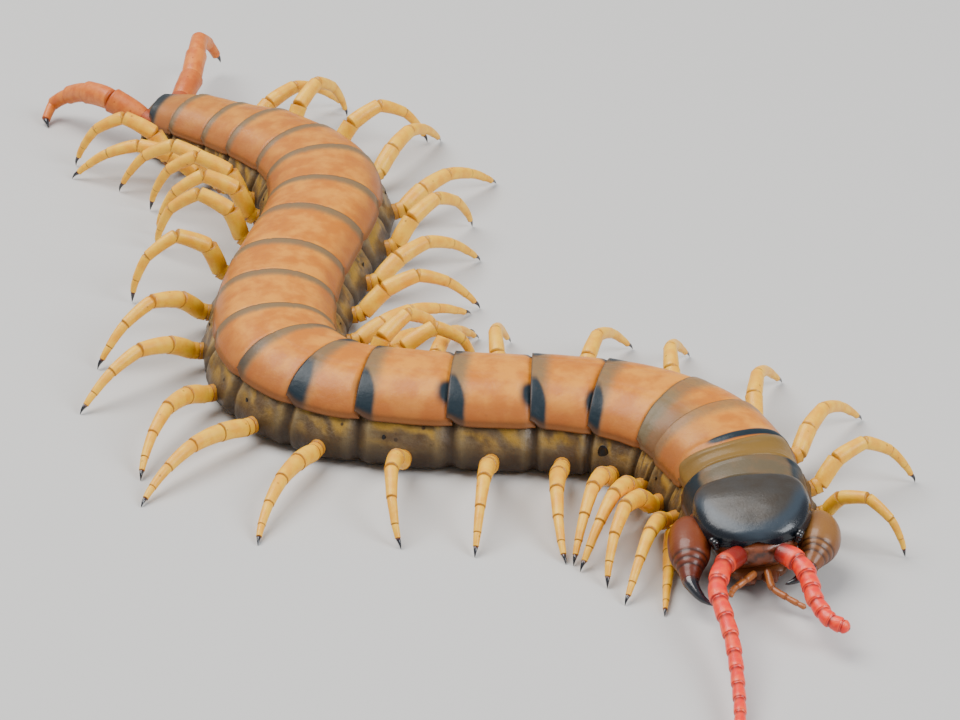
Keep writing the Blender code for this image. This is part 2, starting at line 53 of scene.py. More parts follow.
TRUNK_NODES = 7
BODY = "root"
SQUARE = 90
# How close to upright a direction may run before UP no longer tells its upper side
UPRIGHT = 0.97
# Angle from the top of the back's arch to its edge
BACK_EDGE = math.radians(70)
# Steps between two knots of a smooth way
KNOT_STEPS = 16
# Numbers that scatter the hills
HILL_STEPS = np.array((127, 311, 751))
HILL_SEED_STEP = 97
HILL_TURN = 12.9898
HILL_SIZE = 43758.5453


class Side(Enum):
    """The animal's own two sides."""

    RIGHT = "right"
    LEFT = "left"

    @property
    def sign(self) -> int:
        """One for the right, minus one for the left."""
        return 1 if self is Side.RIGHT else -1


# Numbers on curves


def flat_direction(degrees: float) -> np.ndarray:
    """Unit vector along the floor."""
    angle = np.radians(degrees)
    return np.stack([np.cos(angle), np.sin(angle), np.zeros_like(angle)], -1)


def sloped_direction(degrees: float, rise: float) -> np.ndarray:
    """Unit vector with a heading over the floor and a rise above it."""
    slope = math.radians(rise)
    return flat_direction(degrees) * math.cos(slope) + UP * math.sin(slope)


def unit(vectors: np.ndarray) -> np.ndarray:
    """Vectors brought to a length of one."""
    return vectors / np.maximum(np.linalg.norm(vectors, axis=-1, keepdims=True), 1e-9)


def smoothed(part: np.ndarray) -> np.ndarray:
    """Share between 0 and 1 that starts and ends slowly."""
    return part * part * (3 - 2 * part)


def ease(low: float, high: float, value: np.ndarray) -> np.ndarray:
    """Smooth step from 0 at low to 1 at high."""
    return smoothed(np.clip((value - low) / (high - low), 0.0, 1.0))


def between(value: np.ndarray, rise: tuple, fall: tuple) -> np.ndarray:
    """Smooth step up over one range and down over another."""
    return ease(*rise, value) * ease(*fall, value)


def raised(value: np.ndarray, start: float, *steps: tuple) -> np.ndarray:
    """Start value changed by smooth steps, each given by its amount and by where it begins and ends."""
    return start + sum(amount * ease(low, high, value) for amount, low, high in steps)


def bell(value: np.ndarray, centre: float, spread: float) -> np.ndarray:
    """Smooth hill of height one."""
    return np.exp(-((value - centre) / spread) ** 2)


def along_pairs(pairs: tuple, place: np.ndarray) -> np.ndarray:
    """Value at a place on a line drawn through pairs of place and value."""
    return np.interp(place, [pair[0] for pair in pairs], [pair[1] for pair in pairs])


def around(count: int) -> np.ndarray:
    """Angles spread evenly round a circle."""
    return np.linspace(0, 2 * math.pi, count, endpoint=False)


def squared(value: np.ndarray, power: float) -> np.ndarray:
    """Sine or cosine pulled towards a square outline."""
    return np.sign(value) * np.abs(value) ** power


def hills(points: np.ndarray, size: float, seed: int) -> np.ndarray:
    """Smooth random value between -1 and 1 at each point.

    Args:
        points: places in millimetres.
        size: distance from one hill to the next.
        seed: number that picks the pattern.

    Returns:
        One value for each point.
    """
    grid = points / size
    cell = np.floor(grid).astype(np.int64)
    part = smoothed(grid - cell)
    total = np.zeros(points.shape[:-1])
    for corner in itertools.product((0, 1), repeat=3):
        key = (cell + np.array(corner)) @ HILL_STEPS + seed * HILL_SEED_STEP
        value = np.sin(key * HILL_TURN) * HILL_SIZE
        weight = np.prod(np.where(np.array(corner) == 1, part, 1 - part), axis=-1)
        total += weight * (2 * (value - np.floor(value)) - 1)
    return total


def hills_on(values: tuple, size: float, seed: int) -> np.ndarray:
    """Hills over three coordinates that may each be one value, a row or a column."""
    return hills(np.stack(np.broadcast_arrays(*values), -1), size, seed)


def smooth_way(knots: np.ndarray, samples: int) -> np.ndarray:
    """Values evenly spread along a smooth curve through a few given ones.

    Args:
        knots: rows of values; the first three are a place.
        samples: how many rows to give back.

    Returns:
        Rows of the same width, spaced evenly by distance between places.
    """
    padded = np.vstack([2 * knots[0] - knots[1], knots, 2 * knots[-1] - knots[-2]])
    dense = []
    for i in range(1, len(padded) - 2):
        before, near, far, after = padded[i - 1:i + 3]
        for t in np.linspace(0, 1, KNOT_STEPS, endpoint=False):
            dense.append(0.5 * (2 * near + (far - before) * t
                                + (2 * before - 5 * near + 4 * far - after) * t ** 2
                                + (3 * near - before - 3 * far + after) * t ** 3))
    dense.append(knots[-1])
    dense = np.array(dense)
    steps = np.linalg.norm(np.diff(dense[:, :3], axis=0), axis=1)
    length = np.concatenate([[0.0], np.cumsum(steps)])
    goals = np.linspace(0, length[-1], samples)
    return np.stack([np.interp(goals, length, dense[:, k]) for k in range(dense.shape[1])], -1)


def from_root(knots: np.ndarray, back: float, samples: int) -> np.ndarray:
    """Smooth way through knots that starts some way behind the first.

    Args:
        knots: rows of values; the first three are a place.
        back: how far behind, as a share of the first step between knots.
        samples: how many rows to give back.

    Returns:
        Rows of the same width, spaced evenly.
    """
    root = knots[0].copy()
    root[:3] = root[:3] - (knots[1, :3] - knots[0, :3]) * back
    return smooth_way(np.vstack([root, knots]), samples)


def axes_along(way: np.ndarray) -> tuple[np.ndarray, np.ndarray]:
    """Directions sideways and over a curve that nowhere runs upright.

    Args:
        way: the curve's points.

    Returns:
        A sideways and an upper direction for each point.
    """
    along = unit(np.gradient(way, axis=0))
    over = unit(np.cross(np.cross(along, UP), along))
    return np.cross(along, over), over


def rod_rings(start: np.ndarray, end: np.ndarray, profile: np.ndarray, bow: float, columns: int,
              flatness: float = 1.0) -> np.ndarray:
    """Rings round a short rod that bows a little upwards.

    Args:
        start: where the rod begins.
        end: where it ends.
        profile: rows of a place along the rod, from 0 to 1, and the radius there.
        bow: how far its middle rises.
        columns: points in a ring.
        flatness: its width sideways for a width upwards of one.

    Returns:
        Points shaped (rows, columns, 3).
    """
    t, radius = profile.T
    along = unit(end - start)
    upright = abs(along @ UP) >= UPRIGHT
    over = unit(np.cross(along, (1, 0, 0))) if upright else unit(np.cross(np.cross(along, UP), along))
    side = np.cross(along, over)
    rise = bow * np.sin(np.clip(t, 0, 1) * math.pi)
    centre = start + (end - start) * t[:, None] + over * rise[:, None]
    angle = around(columns)[:, None]
    wheel = over * np.sin(angle) + side * np.cos(angle) * flatness
    return centre[:, None] + wheel[None] * radius[:, None, None]


# Meshes


@dataclass
class Shape:
    """Points in millimetres, faces and named marks, ready to become a mesh."""

    points: np.ndarray
    faces: list
    marks: dict

    @staticmethod
    def loft(rings: np.ndarray, **marks: np.ndarray) -> "Shape":
        """Closed shape through rings of points, its two ends closed by fans.

        Args:
            rings: rows of closed rings, shaped (rows, columns, 3).
            marks: named values, one for each point, row or column, or one for all.

        Returns:
            The shape, its faces pointing outwards.
        """
        rows, columns, _ = rings.shape
        index = np.arange(rows * columns).reshape(rows, columns)
        near, far = index[:-1], index[1:]
        quads = np.stack([near, np.roll(near, -1, 1), np.roll(far, -1, 1), far], -1).reshape(-1, 4)
        points = np.vstack([rings.reshape(-1, 3), rings[0].mean(0), rings[-1].mean(0)])
        first, last = rows * columns, rows * columns + 1
        fans = [(first, index[0, (i + 1) % columns], index[0, i]) for i in range(columns)]
        fans += [(last, index[-1, i], index[-1, (i + 1) % columns]) for i in range(columns)]
        faces = quads.tolist() + [list(map(int, fan)) for fan in fans]
        halves = np.vstack([quads[:, [0, 1, 2]], quads[:, [0, 2, 3]], np.array(fans)])
        a, b, c = points[halves].transpose(1, 0, 2)
        if np.einsum("ij,ij->", a, np.cross(b, c)) < 0:
            faces = [face[::-1] for face in faces]
        full = {}
        for name, value in marks.items():
            value = np.broadcast_to(value, (rows, columns)).astype(float)
            full[name] = np.concatenate([value.ravel(), [value[0].mean(), value[-1].mean()]])
        return Shape(points, faces, full)

    @staticmethod
    def together(shapes: list) -> "Shape":
        """Several shapes as one, each still a closed surface of its own.

        Args:
            shapes: the shapes, all with the same marks.

        Returns:
            The joined shape.
        """
        offset = 0
        faces = []
        for shape in shapes:
            faces += [[corner + offset for corner in face] for face in shape.faces]
            offset += len(shape.points)
        marks = {name: np.concatenate([shape.marks[name] for shape in shapes]) for name in shapes[0].marks}
        return Shape(np.vstack([shape.points for shape in shapes]), faces, marks)

    def made(self, name: str, material: bpy.types.Material, slot: str, *nodes: str) -> None:
        """Turn the shape into a piece of the model.

        Args:
            name: the piece's name.
            material: its finish.
            slot: the record's material slot.
            nodes: the solids that it stands for.
        """
        mesh = bpy.data.meshes.new(name)
        mesh.from_pydata((self.points * MM).tolist(), [], self.faces)
        for mark, values in self.marks.items():
            layer = mesh.attributes.new(mark, "FLOAT", "POINT")
            layer.data.foreach_set("value", values.astype(np.float32))
        mesh.materials.append(material)
        mesh.shade_smooth()
        settled(name, mesh, slot, *nodes)


def linked(name: str, data: bpy.types.ID) -> bpy.types.Object:
    """New object in the scene.

    Args:
        name: the object's name.
        data: its mesh, curve, light or camera.

    Returns:
        The object.
    """
    made = bpy.data.objects.new(name, data)
    bpy.context.collection.objects.link(made)
    return made


def settled(name: str, mesh: bpy.types.Mesh, slot: str, *nodes: str) -> None:
    """Make a piece, tie it to the model's body and hide the solids that it stands for.

    Args:
        name: the piece's name.
        mesh: its mesh.
        slot: the record's material slot; not used.
        nodes: the solids that it stands for.
    """
    piece = linked(name, mesh)
    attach(piece, BODY)
    if nodes:
        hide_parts(*nodes)
    LOG.info("%s: %d faces", piece.name, len(mesh.polygons))


def grown(name: str, data: bpy.types.ID, tree: bpy.types.NodeTree, sizes: dict, slot: str,
          *nodes: str) -> None:
    """Run a Geometry Nodes tree and keep its result as a plain piece.

    Args:
        name: the piece's name.
        data: curve or mesh that the tree starts from.
        tree: the Geometry Nodes tree.
        sizes: values of the tree's named inputs.
        slot: the record's material slot.
        nodes: the solids that the piece stands for.
    """
    holder = linked(name + "_way", data)
    modifier = holder.modifiers.new("growth", "NODES")
    modifier.node_group = tree
    for item in tree.interface.items_tree:
        if item.item_type == "SOCKET" and item.in_out == "INPUT" and item.name in sizes:
            modifier[item.identifier] = sizes[item.name]
    bpy.context.view_layer.update()
    mesh = bpy.data.meshes.new_from_object(holder.evaluated_get(bpy.context.evaluated_depsgraph_get()))
    holder.modifiers.remove(modifier)
    bpy.data.objects.remove(holder, do_unlink=True)
    mesh.name = name
    settled(name, mesh, slot, *nodes)


# Node trees


class Wire:
    """A socket that can stand in a sum: each operator adds one Math node."""

    def __init__(self, tree: "Nodes", socket: bpy.types.NodeSocket) -> None:
        """Keep the socket and the tree that it belongs to."""
        self.tree = tree
        self.socket = socket

    def maths(self, operation: str, *values: object) -> "Wire":
        """Math node of one operation on this and other values."""
        return self.tree.node("ShaderNodeMath", {"operation": operation}, self, *values)

    def __add__(self, other: object) -> "Wire":
        """Sum."""
        return self.maths("ADD", other)

    def __sub__(self, other: object) -> "Wire":
        """Difference."""
        return self.maths("SUBTRACT", other)

    def __rsub__(self, other: float) -> "Wire":
        """Difference from a number."""
        return self.tree.node("ShaderNodeMath", {"operation": "SUBTRACT"}, other, self)

    def __mul__(self, other: object) -> "Wire":
        """Product."""
        return self.maths("MULTIPLY", other)

    __radd__ = __add__
    __rmul__ = __mul__

    def swing(self, amount: float) -> "Wire":
        """How far the value is from one half, times an amount."""
        return (self - 0.5) * amount

    def step(self, low: float, high: float) -> "Wire":
        """Smooth step from 0 at low to 1 at high."""
        settings = {"interpolation_type": "SMOOTHSTEP"}
        return self.tree.node("ShaderNodeMapRange", settings, self, low, high, 0.0, 1.0)


class Nodes:
    """A node tree to which nodes are added one by one."""

    def __init__(self, tree: bpy.types.NodeTree) -> None:
        """Keep the tree."""
        self.tree = tree

    def node(self, kind: str, settings: dict, *values: object, output: str = "", **named: object) -> Wire:
        """Add one node.

        Args:
            kind: its type.
            settings: properties that are set first; "points" bends a Float Curve.
            values: a number, colour or Wire for each socket in turn.
            output: name of the output to take, or nothing for the first.
            named: values for sockets by name, with _ for a space.

        Returns:
            The output as a Wire.
        """
        made = self.tree.nodes.new(kind)
        for key, setting in settings.items():
            if key == "points":
                points = made.mapping.curves[0].points
                while len(points) < len(setting):
                    points.new(0.5, 0.5)
                for point, place in zip(points, setting):
                    point.location = place
                made.mapping.update()
            else:
                setattr(made, key, setting)
        pairs = list(zip([socket for socket in made.inputs if socket.enabled], values))
        pairs += [(made.inputs[key.replace("_", " ")], value) for key, value in named.items()]
        for socket, value in pairs:
            self.feed(socket, value)
        outputs = [socket for socket in made.outputs if socket.enabled and output in ("", socket.name)]
        return Wire(self, outputs[0])

    def feed(self, socket: bpy.types.NodeSocket, value: object) -> None:
        """Give a socket a link or a value.

        Args:
            socket: the input socket.
            value: a Wire, or a plain value; a colour has three numbers.
        """
        if isinstance(value, Wire):
            self.tree.links.new(value.socket, socket)
        elif isinstance(value, tuple) and len(value) == 3 and socket.type == "RGBA":
            socket.default_value = (*value, 1.0)
        else:
            socket.default_value = value


class Growth(Nodes):
    """Builds one Geometry Nodes tree."""

    def __init__(self, name: str, **inputs: str) -> None:
        """Start a tree.

        Args:
            name: the tree's name.
            inputs: kind of each named input, with _ for a space.
        """
        super().__init__(bpy.data.node_groups.new(name, "GeometryNodeTree"))
        sockets = {"Geometry": "Geometry", **inputs, "Finish": "Material"}
        for key, kind in sockets.items():
            self.tree.interface.new_socket(key.replace("_", " "), in_out="INPUT",
                                           socket_type="NodeSocket" + kind)
        self.tree.interface.new_socket("Geometry", in_out="OUTPUT", socket_type="NodeSocketGeometry")
        self.inputs = self.tree.nodes.new("NodeGroupInput").outputs

    def given(self, name: str) -> Wire:
        """One of the tree's named inputs."""
        return Wire(self, self.inputs[name])

    def stored(self, name: str, kind: str) -> Wire:
        """Value that the points carry."""
        return self.node("GeometryNodeInputNamedAttribute", {"data_type": kind}, Name=name)

    def done(self, surface: Wire) -> bpy.types.NodeTree:
        """End the tree: real geometry, shaded smooth, with its finish.

        Args:
            surface: the finished surface.

        Returns:
            The tree.
        """
        smooth = self.node("GeometryNodeSetShadeSmooth", {}, Geometry=surface)
        real = self.node("GeometryNodeRealizeInstances", {}, Geometry=smooth)
        dressed = self.node("GeometryNodeSetMaterial", {}, Geometry=real, Material=self.given("Finish"))
        self.feed(self.tree.nodes.new("NodeGroupOutput").inputs[0], dressed)
        return self.tree


@dataclass(frozen=True)
class Gloss:
    """How a finish feels and shines: roughness, how much its grain changes that, bump depth, coat."""

    roughness: float = 0.5
    grain: float = 0.0
    depth: float = 0.1
    specular: float = 0.5
    coat: float = 0.0
    coat_roughness: float = 0.03


class Paint(Nodes):
    """Builds one material's nodes."""

    def __init__(self, name: str) -> None:
        """Start a material with its Principled shader.

        Args:
            name: the material's name.
        """
        self.material = bpy.data.materials.new(name)
        self.material.use_nodes = True
        super().__init__(self.material.node_tree)
        self.shader = self.tree.nodes["Principled BSDF"]

    def mark(self, name: str) -> Wire:
        """Value of a mark that the mesh carries."""
        return self.node("ShaderNodeAttribute", {"attribute_name": name}, output="Fac")

    def place(self) -> Wire:
        """The object's own coordinates."""
        return self.node("ShaderNodeTexCoord", {}, output="Object")

    def spots(self, size: float, detail: float = 3.0, rough: float = 0.55) -> Wire:
        """Cloudy noise.

        Args:
            size: distance from one cloud to the next in millimetres.
            detail: how many finer layers it has.
            rough: how strong the finer layers are.

        Returns:
            A value between 0 and 1.
        """
        return self.node("ShaderNodeTexNoise", {}, Vector=self.place(), Scale=1.0 / (size * MM),
                         Detail=detail, Roughness=rough)

    def cells(self, size: float) -> Wire:
        """Distance from the nearest of many scattered points."""
        return self.node("ShaderNodeTexVoronoi", {}, Vector=self.place(), Scale=1.0 / (size * MM))

    def mix(self, factor: object, first: object, second: object) -> Wire:
        """Colour between two others; a factor outside 0 to 1 counts as the nearer end."""
        return self.node("ShaderNodeMix", {"data_type": "RGBA"}, factor, first, second)

    def done(self, colour: object, gloss: Gloss, fine: object = 0.0, height: Wire | None = None,
             more: Wire | None = None) -> bpy.types.Material:
        """Connect the shader.

        Args:
            colour: base colour.
            gloss: how the finish feels and shines.
            fine: grain that changes the roughness and, without a height, is the bump.
            height: bump height between 0 and 1.
            more: what else is added to the roughness.

        Returns:
            The finished material.
        """
        roughness = gloss.roughness + fine * gloss.grain
        if more is not None:
            roughness = roughness + more
        values = {"Base Color": colour, "Roughness": roughness, "Specular IOR Level": gloss.specular,
                  "Coat Weight": gloss.coat, "Coat Roughness": gloss.coat_roughness}
        height = fine if height is None else height
        if isinstance(height, Wire):
            values["Normal"] = self.node("ShaderNodeBump", {}, Strength=1.0, Distance=gloss.depth * MM,
                                         Height=height)
        for key, value in values.items():
            self.feed(self.shader.inputs[key], value)
        return self.material


# Finishes


@dataclass(frozen=True)
class PlateFinish:
    """Glossy back plate: cloudy orange with a blue-black and olive rear band."""

    orange: tuple = (0.540, 0.160, 0.009)
    pale: tuple = (0.720, 0.270, 0.022)
    pink: tuple = (0.290, 0.085, 0.026)
    olive: tuple = (0.135, 0.112, 0.062)
    dark: tuple = (0.008, 0.018, 0.026)
    tan: tuple = (0.200, 0.110, 0.022)
    grey: tuple = (0.110, 0.082, 0.045)
    rim: tuple = (0.100, 0.042, 0.014)
    gloss: Gloss = Gloss(0.23, 0.24, 0.05, 0.28, 0.08, 0.16)
    cloud_size: float = 2.2
    grain_size: float = 0.35
    cloud_edge: tuple = (0.35, 0.68)
    pink_share: float = 0.75
    grey_least: float = 0.72
    grey_cloud: float = 0.5
    band_cloud: float = 0.4
    band_start: tuple = (0.0, 0.15)
    dusk_start: tuple = (0.0, 0.12)
    grain_bump: float = 0.6
    cloud_bump: float = 0.4
    cloud_dulling: float = 0.18
    band_edge: tuple = (0.10, 1.00)
    band_share: float = 0.85
    dusk_edge: tuple = (0.20, 0.80)
    ragged: float = 0.35
    rim_share: float = 0.7
    fleck_edge: tuple = (0.62, 0.80)
    fleck_share: float = 0.22

    def made(self) -> bpy.types.Material:
        """Mix the colours by the marks side, tan, grey, band, dusk and rim.

        Returns:
            The material.
        """
        paint = Paint("back plate")
        cloud = paint.spots(self.cloud_size)
        fine = paint.spots(self.grain_size, detail=4.0)
        colour = paint.mix(cloud.step(*self.cloud_edge), self.orange, self.pale)
        colour = paint.mix(paint.mark("side") * self.pink_share, colour, self.pink)
        colour = paint.mix(paint.mark("tan"), colour, self.tan)
        grey = paint.mark("grey") * (cloud * self.grey_cloud + self.grey_least)
        colour = paint.mix(grey, colour, self.grey)
        band = paint.mark("band")
        ragged = band + fine.swing(self.ragged) + cloud.swing(self.band_cloud)
        band = ragged * band.step(*self.band_start)
        colour = paint.mix(band.step(*self.band_edge) * self.band_share, colour, self.olive)
        dusk = paint.mark("dusk")
        dusk = (dusk + cloud.swing(self.ragged)) * dusk.step(*self.dusk_start)
        colour = paint.mix(dusk.step(*self.dusk_edge), colour, self.dark)
        colour = paint.mix(paint.mark("rim") * self.rim_share, colour, self.rim)
        colour = paint.mix(fine.step(*self.fleck_edge) * self.fleck_share, colour, self.rim)
        height = fine * self.grain_bump + cloud * self.cloud_bump
        return paint.done(colour, self.gloss, fine, height, cloud * self.cloud_dulling)


@dataclass(frozen=True)
class SkinFinish:
    """Soft flank and belly: beige-grey with yellow-olive folds, and painted shade in the deep folds and
    towards the bottom.
    """

    beige: tuple = (0.098, 0.055, 0.021)
    yellow: tuple = (0.340, 0.190, 0.020)
    # Dark brown: painted shade in the folds and wrinkles, and the skin's real flecks and dots
    fold_shade_and_flecks: tuple = (0.026, 0.013, 0.005)
    # Near black towards the bottom of the flank: painted shade under the body
    belly: tuple = (0.021, 0.011, 0.005)
    pale: tuple = (0.320, 0.235, 0.105)
    gloss: Gloss = Gloss(0.38, 0.25, 0.07, 0.35, 0.15, 0.16)
    cloud_size: float = 1.8
    grain_size: float = 0.30
    cloud_edge: tuple = (0.35, 0.7)
    cloud_share: float = 0.35
    ridge_share: float = 0.5
    # Where the painted shade towards the bottom begins and how strong it is
    low_shade_edge: tuple = (0.38, 0.60)
    low_shade_share: float = 0.88
    yellow_edge: tuple = (0.25, 0.60)
    fold_shade_share: float = 0.75
    fleck_edge: tuple = (0.55, 0.8)
    fleck_share: float = 0.4
    dot_spacing: float = 2.6
    dot_edge: tuple = (0.09, 0.05)
    dots_from: tuple = (0.25, 0.3)
    dots_to: tuple = (0.6, 0.5)
    dot_share: float = 0.85

    def made(self) -> bpy.types.Material:
        """Mix the colours by the marks down, glow, ridge and fold; down and fold carry painted shade.

        Returns:
            The material.
        """
        paint = Paint("soft skin")
        cloud = paint.spots(self.cloud_size)
        fine = paint.spots(self.grain_size, detail=4.0)
        down = paint.mark("down")
        colour = paint.mix(cloud.step(*self.cloud_edge) * self.cloud_share, self.beige, self.pale)
        colour = paint.mix(paint.mark("ridge") * self.ridge_share, colour, self.pale)
        # Painted shade: darker towards the bottom, under the body
        colour = paint.mix(down.step(*self.low_shade_edge) * self.low_shade_share, colour, self.belly)
        colour = paint.mix(paint.mark("glow") * cloud.step(*self.yellow_edge), colour, self.yellow)
        # Painted shade in the deep folds between segments and in the wrinkles
        colour = paint.mix(paint.mark("fold") * self.fold_shade_share, colour, self.fold_shade_and_flecks)
        colour = paint.mix(fine.step(*self.fleck_edge) * self.fleck_share, colour, self.fold_shade_and_flecks)
        dots = paint.cells(self.dot_spacing).step(*self.dot_edge)
        dots = dots * down.step(*self.dots_from) * down.step(*self.dots_to)
        colour = paint.mix(dots * self.dot_share, colour, self.fold_shade_and_flecks)
        return paint.done(colour, self.gloss, fine)


@dataclass(frozen=True)
class HeadFinish:
    """Head plate: grey-brown in the middle, glossy blue-black along its front border, with a painted blue
    reflection of the sky just inside that border.
    """

    middle: tuple = (0.036, 0.031, 0.026)
    warm: tuple = (0.032, 0.023, 0.015)
    # Blue-grey inside the front border: painted reflection of the sky on the glossy plate
    painted_sky_sheen: tuple = (0.028, 0.040, 0.054)
    border: tuple = (0.006, 0.009, 0.014)
    gloss: Gloss = Gloss(0.325, 0.15, 0.04, 0.4, 0.18, 0.14)
    cloud_size: float = 1.6
    grain_size: float = 0.25
    cloud_edge: tuple = (0.35, 0.7)
    sky_sheen_edge: tuple = (0.08, 0.50)
    border_edge: tuple = (0.55, 0.95)
    border_shine: float = -0.14
    border_cloud: float = 0.25
    border_grain: float = 0.10
    grain_bump: float = 0.5
    pit_bump: float = 0.5
    cloud_bump: float = 0.3
    pit_spacing: float = 0.7
    pit_edge: tuple = (0.10, 0.02)
    pit_share: float = 0.7

    def made(self) -> bpy.types.Material:
        """Mix the colours by the mark border, which also places the painted sky reflection.

        Returns:
            The material.
        """
        paint = Paint("head plate")
        cloud = paint.spots(self.cloud_size)
        fine = paint.spots(self.grain_size, detail=5.0)
        mark = paint.mark("border")
        border = mark + cloud.swing(self.border_cloud) + fine.swing(self.border_grain)
        colour = paint.mix(cloud.step(*self.cloud_edge), self.middle, self.warm)
        # Painted reflection of the sky between the brown middle and the black border
        colour = paint.mix(border.step(*self.sky_sheen_edge), colour, self.painted_sky_sheen)
        colour = paint.mix(border.step(*self.border_edge), colour, self.border)
        pits = paint.cells(self.pit_spacing).step(*self.pit_edge)
        colour = paint.mix(pits * self.pit_share, colour, self.border)
        height = fine * self.grain_bump - pits * self.pit_bump + cloud * self.cloud_bump
        return paint.done(colour, self.gloss, fine, height, mark * self.border_shine)


@dataclass(frozen=True)
class MouthFinish:
    """Dark red-brown hard parts under and in front of the head plate."""

    red: tuple = (0.210, 0.050, 0.013)
    dark: tuple = (0.030, 0.009, 0.005)
    gloss: Gloss = Gloss(0.28, 0.2, 0.08, coat=0.4, coat_roughness=0.12)
    cloud_size: float = 0.9
    grain_size: float = 0.2
    cloud_edge: tuple = (0.45, 0.75)
    cloud_bump: float = 0.7
    grain_bump: float = 0.3

    def made(self) -> bpy.types.Material:
        """Mix red-brown and almost black in clouds.

        Returns:
            The material.
        """
        paint = Paint("mouth parts")
        cloud = paint.spots(self.cloud_size)
        fine = paint.spots(self.grain_size)
        colour = paint.mix(cloud.step(*self.cloud_edge), self.red, self.dark)
        return paint.done(colour, self.gloss, fine, cloud * self.cloud_bump + fine * self.grain_bump)


@dataclass(frozen=True)
class FeelerFinish:
    """Coral-red beads with orange rims and darker joints; the dark runs over each bead's near end as painted
    shade under the bead before.
    """

    coral: tuple = (0.860, 0.014, 0.006)
    light: tuple = (0.980, 0.085, 0.015)
    joint: tuple = (0.130, 0.002, 0.001)
    root: tuple = (0.090, 0.008, 0.003)
    gloss: Gloss = Gloss(0.26, 0.18, 0.03, coat=0.15, coat_roughness=0.1)
    cloud_size: float = 0.6
    grain_size: float = 0.12
    cloud_edge: tuple = (0.4, 0.75)
    root_edge: tuple = (0.15, 0.03)
    rim_rise: tuple = (0.74, 0.84)
    rim_fall: tuple = (0.97, 0.90)
    rim_share: float = 0.5
    # Dark over each bead's near third: part dark joint, part painted shade under the rim of the bead before
    start_edge: tuple = (0.32, 0.02)
    end_edge: tuple = (0.90, 0.99)
    joint_share: float = 0.85

    def made(self) -> bpy.types.Material:
        """Mix the colours by the marks along, within a bead, and part, within the feeler.

        Returns:
            The material.
        """
        paint = Paint("feeler")
        along = paint.mark("along")
        cloud = paint.spots(self.cloud_size)
        fine = paint.spots(self.grain_size)
        colour = paint.mix(cloud.step(*self.cloud_edge), self.coral, self.light)
        colour = paint.mix(paint.mark("part").step(*self.root_edge) * self.joint_share, colour, self.root)
        rim = along.step(*self.rim_rise) * along.step(*self.rim_fall)
        colour = paint.mix(rim * self.rim_share, colour, self.light)
        # Dark joints, widened over each bead's near end as painted shade
        ends = along.step(*self.start_edge) + along.step(*self.end_edge)
        colour = paint.mix(ends * self.joint_share, colour, self.joint)
        return paint.done(colour, self.gloss, fine)


@dataclass(frozen=True)
class PalpFinish:
    """Orange-brown beaded palps."""

    brown: tuple = (0.400, 0.120, 0.022)
    joint: tuple = (0.100, 0.020, 0.006)
    gloss: Gloss = Gloss(0.28, 0.2, 0.03, coat=0.3, coat_roughness=0.15)
    grain_size: float = 0.15
    start_edge: tuple = (0.14, 0.0)
    end_edge: tuple = (0.88, 1.0)
    joint_share: float = 0.8

    def made(self) -> bpy.types.Material:
        """Mix the colours by the mark along.

        Returns:
            The material.
        """
        paint = Paint("palp")
        along = paint.mark("along")
        ends = along.step(*self.start_edge) + along.step(*self.end_edge)
        colour = paint.mix(ends * self.joint_share, self.brown, self.joint)
        return paint.done(colour, self.gloss, paint.spots(self.grain_size))


@dataclass(frozen=True)
class FangFinish:
    """Poison fang's swollen base: red-brown, with dark furrows."""

    name: str = "fang base"
    red: tuple = (0.085, 0.007, 0.002)
    amber: tuple = (0.180, 0.038, 0.007)
    dark: tuple = (0.015, 0.003, 0.002)
    gloss: Gloss = Gloss(0.30, 0.18, 0.03, 0.4, 0.18, 0.08)
    cloud_size: float = 1.4
    grain_size: float = 0.22
    top_edge: tuple = (-0.2, 0.9)
    top_share: float = 0.8
    cloud_swing: float = 0.6
    tip_share: float = 0.75
    furrow_share: float = 0.9

    def made(self) -> bpy.types.Material:
        """Mix the colours by the marks top, tip and furrow.

        Returns:
            The material.
        """
        paint = Paint(self.name)
        cloud = paint.spots(self.cloud_size)
        top = paint.mark("top").step(*self.top_edge) * self.top_share + cloud.swing(self.cloud_swing)
        colour = paint.mix(top, self.red, self.amber)
        colour = paint.mix(paint.mark("tip") * self.tip_share, colour, self.red)
        colour = paint.mix(paint.mark("furrow") * self.furrow_share, colour, self.dark)
        return paint.done(colour, self.gloss, paint.spots(self.grain_size))


@dataclass(frozen=True)
class ClawFinish:
    """Hard glossy black claw with a brown root."""

    black: tuple = (0.012, 0.014, 0.020)
    root: tuple = (0.090, 0.022, 0.012)
    gloss: Gloss = Gloss(0.14, 0.12, 0.02, coat=0.6, coat_roughness=0.05)
    grain_size: float = 0.2
    root_edge: tuple = (0.02, 0.22)

    def made(self) -> bpy.types.Material:
        """Mix the colours by the mark along.

        Returns:
            The material.
        """
        paint = Paint("claw")
        colour = paint.mix(paint.mark("along").step(*self.root_edge), self.root, self.black)
        return paint.done(colour, self.gloss, paint.spots(self.grain_size))


@dataclass(frozen=True)
class BlackFinish:
    """Almost black finish, browner in spots, for eyes and breathing holes."""

    name: str
    black: tuple
    brown: tuple
    brown_edge: tuple
    gloss: Gloss
    cloud_size: float = 0.3

    def made(self) -> bpy.types.Material:
        """Mix the two colours in clouds.

        Returns:
            The material.
        """
        paint = Paint(self.name)
        cloud = paint.spots(self.cloud_size)
        colour = paint.mix(cloud.step(*self.brown_edge), self.black, self.brown)
        return paint.done(colour, self.gloss, cloud)


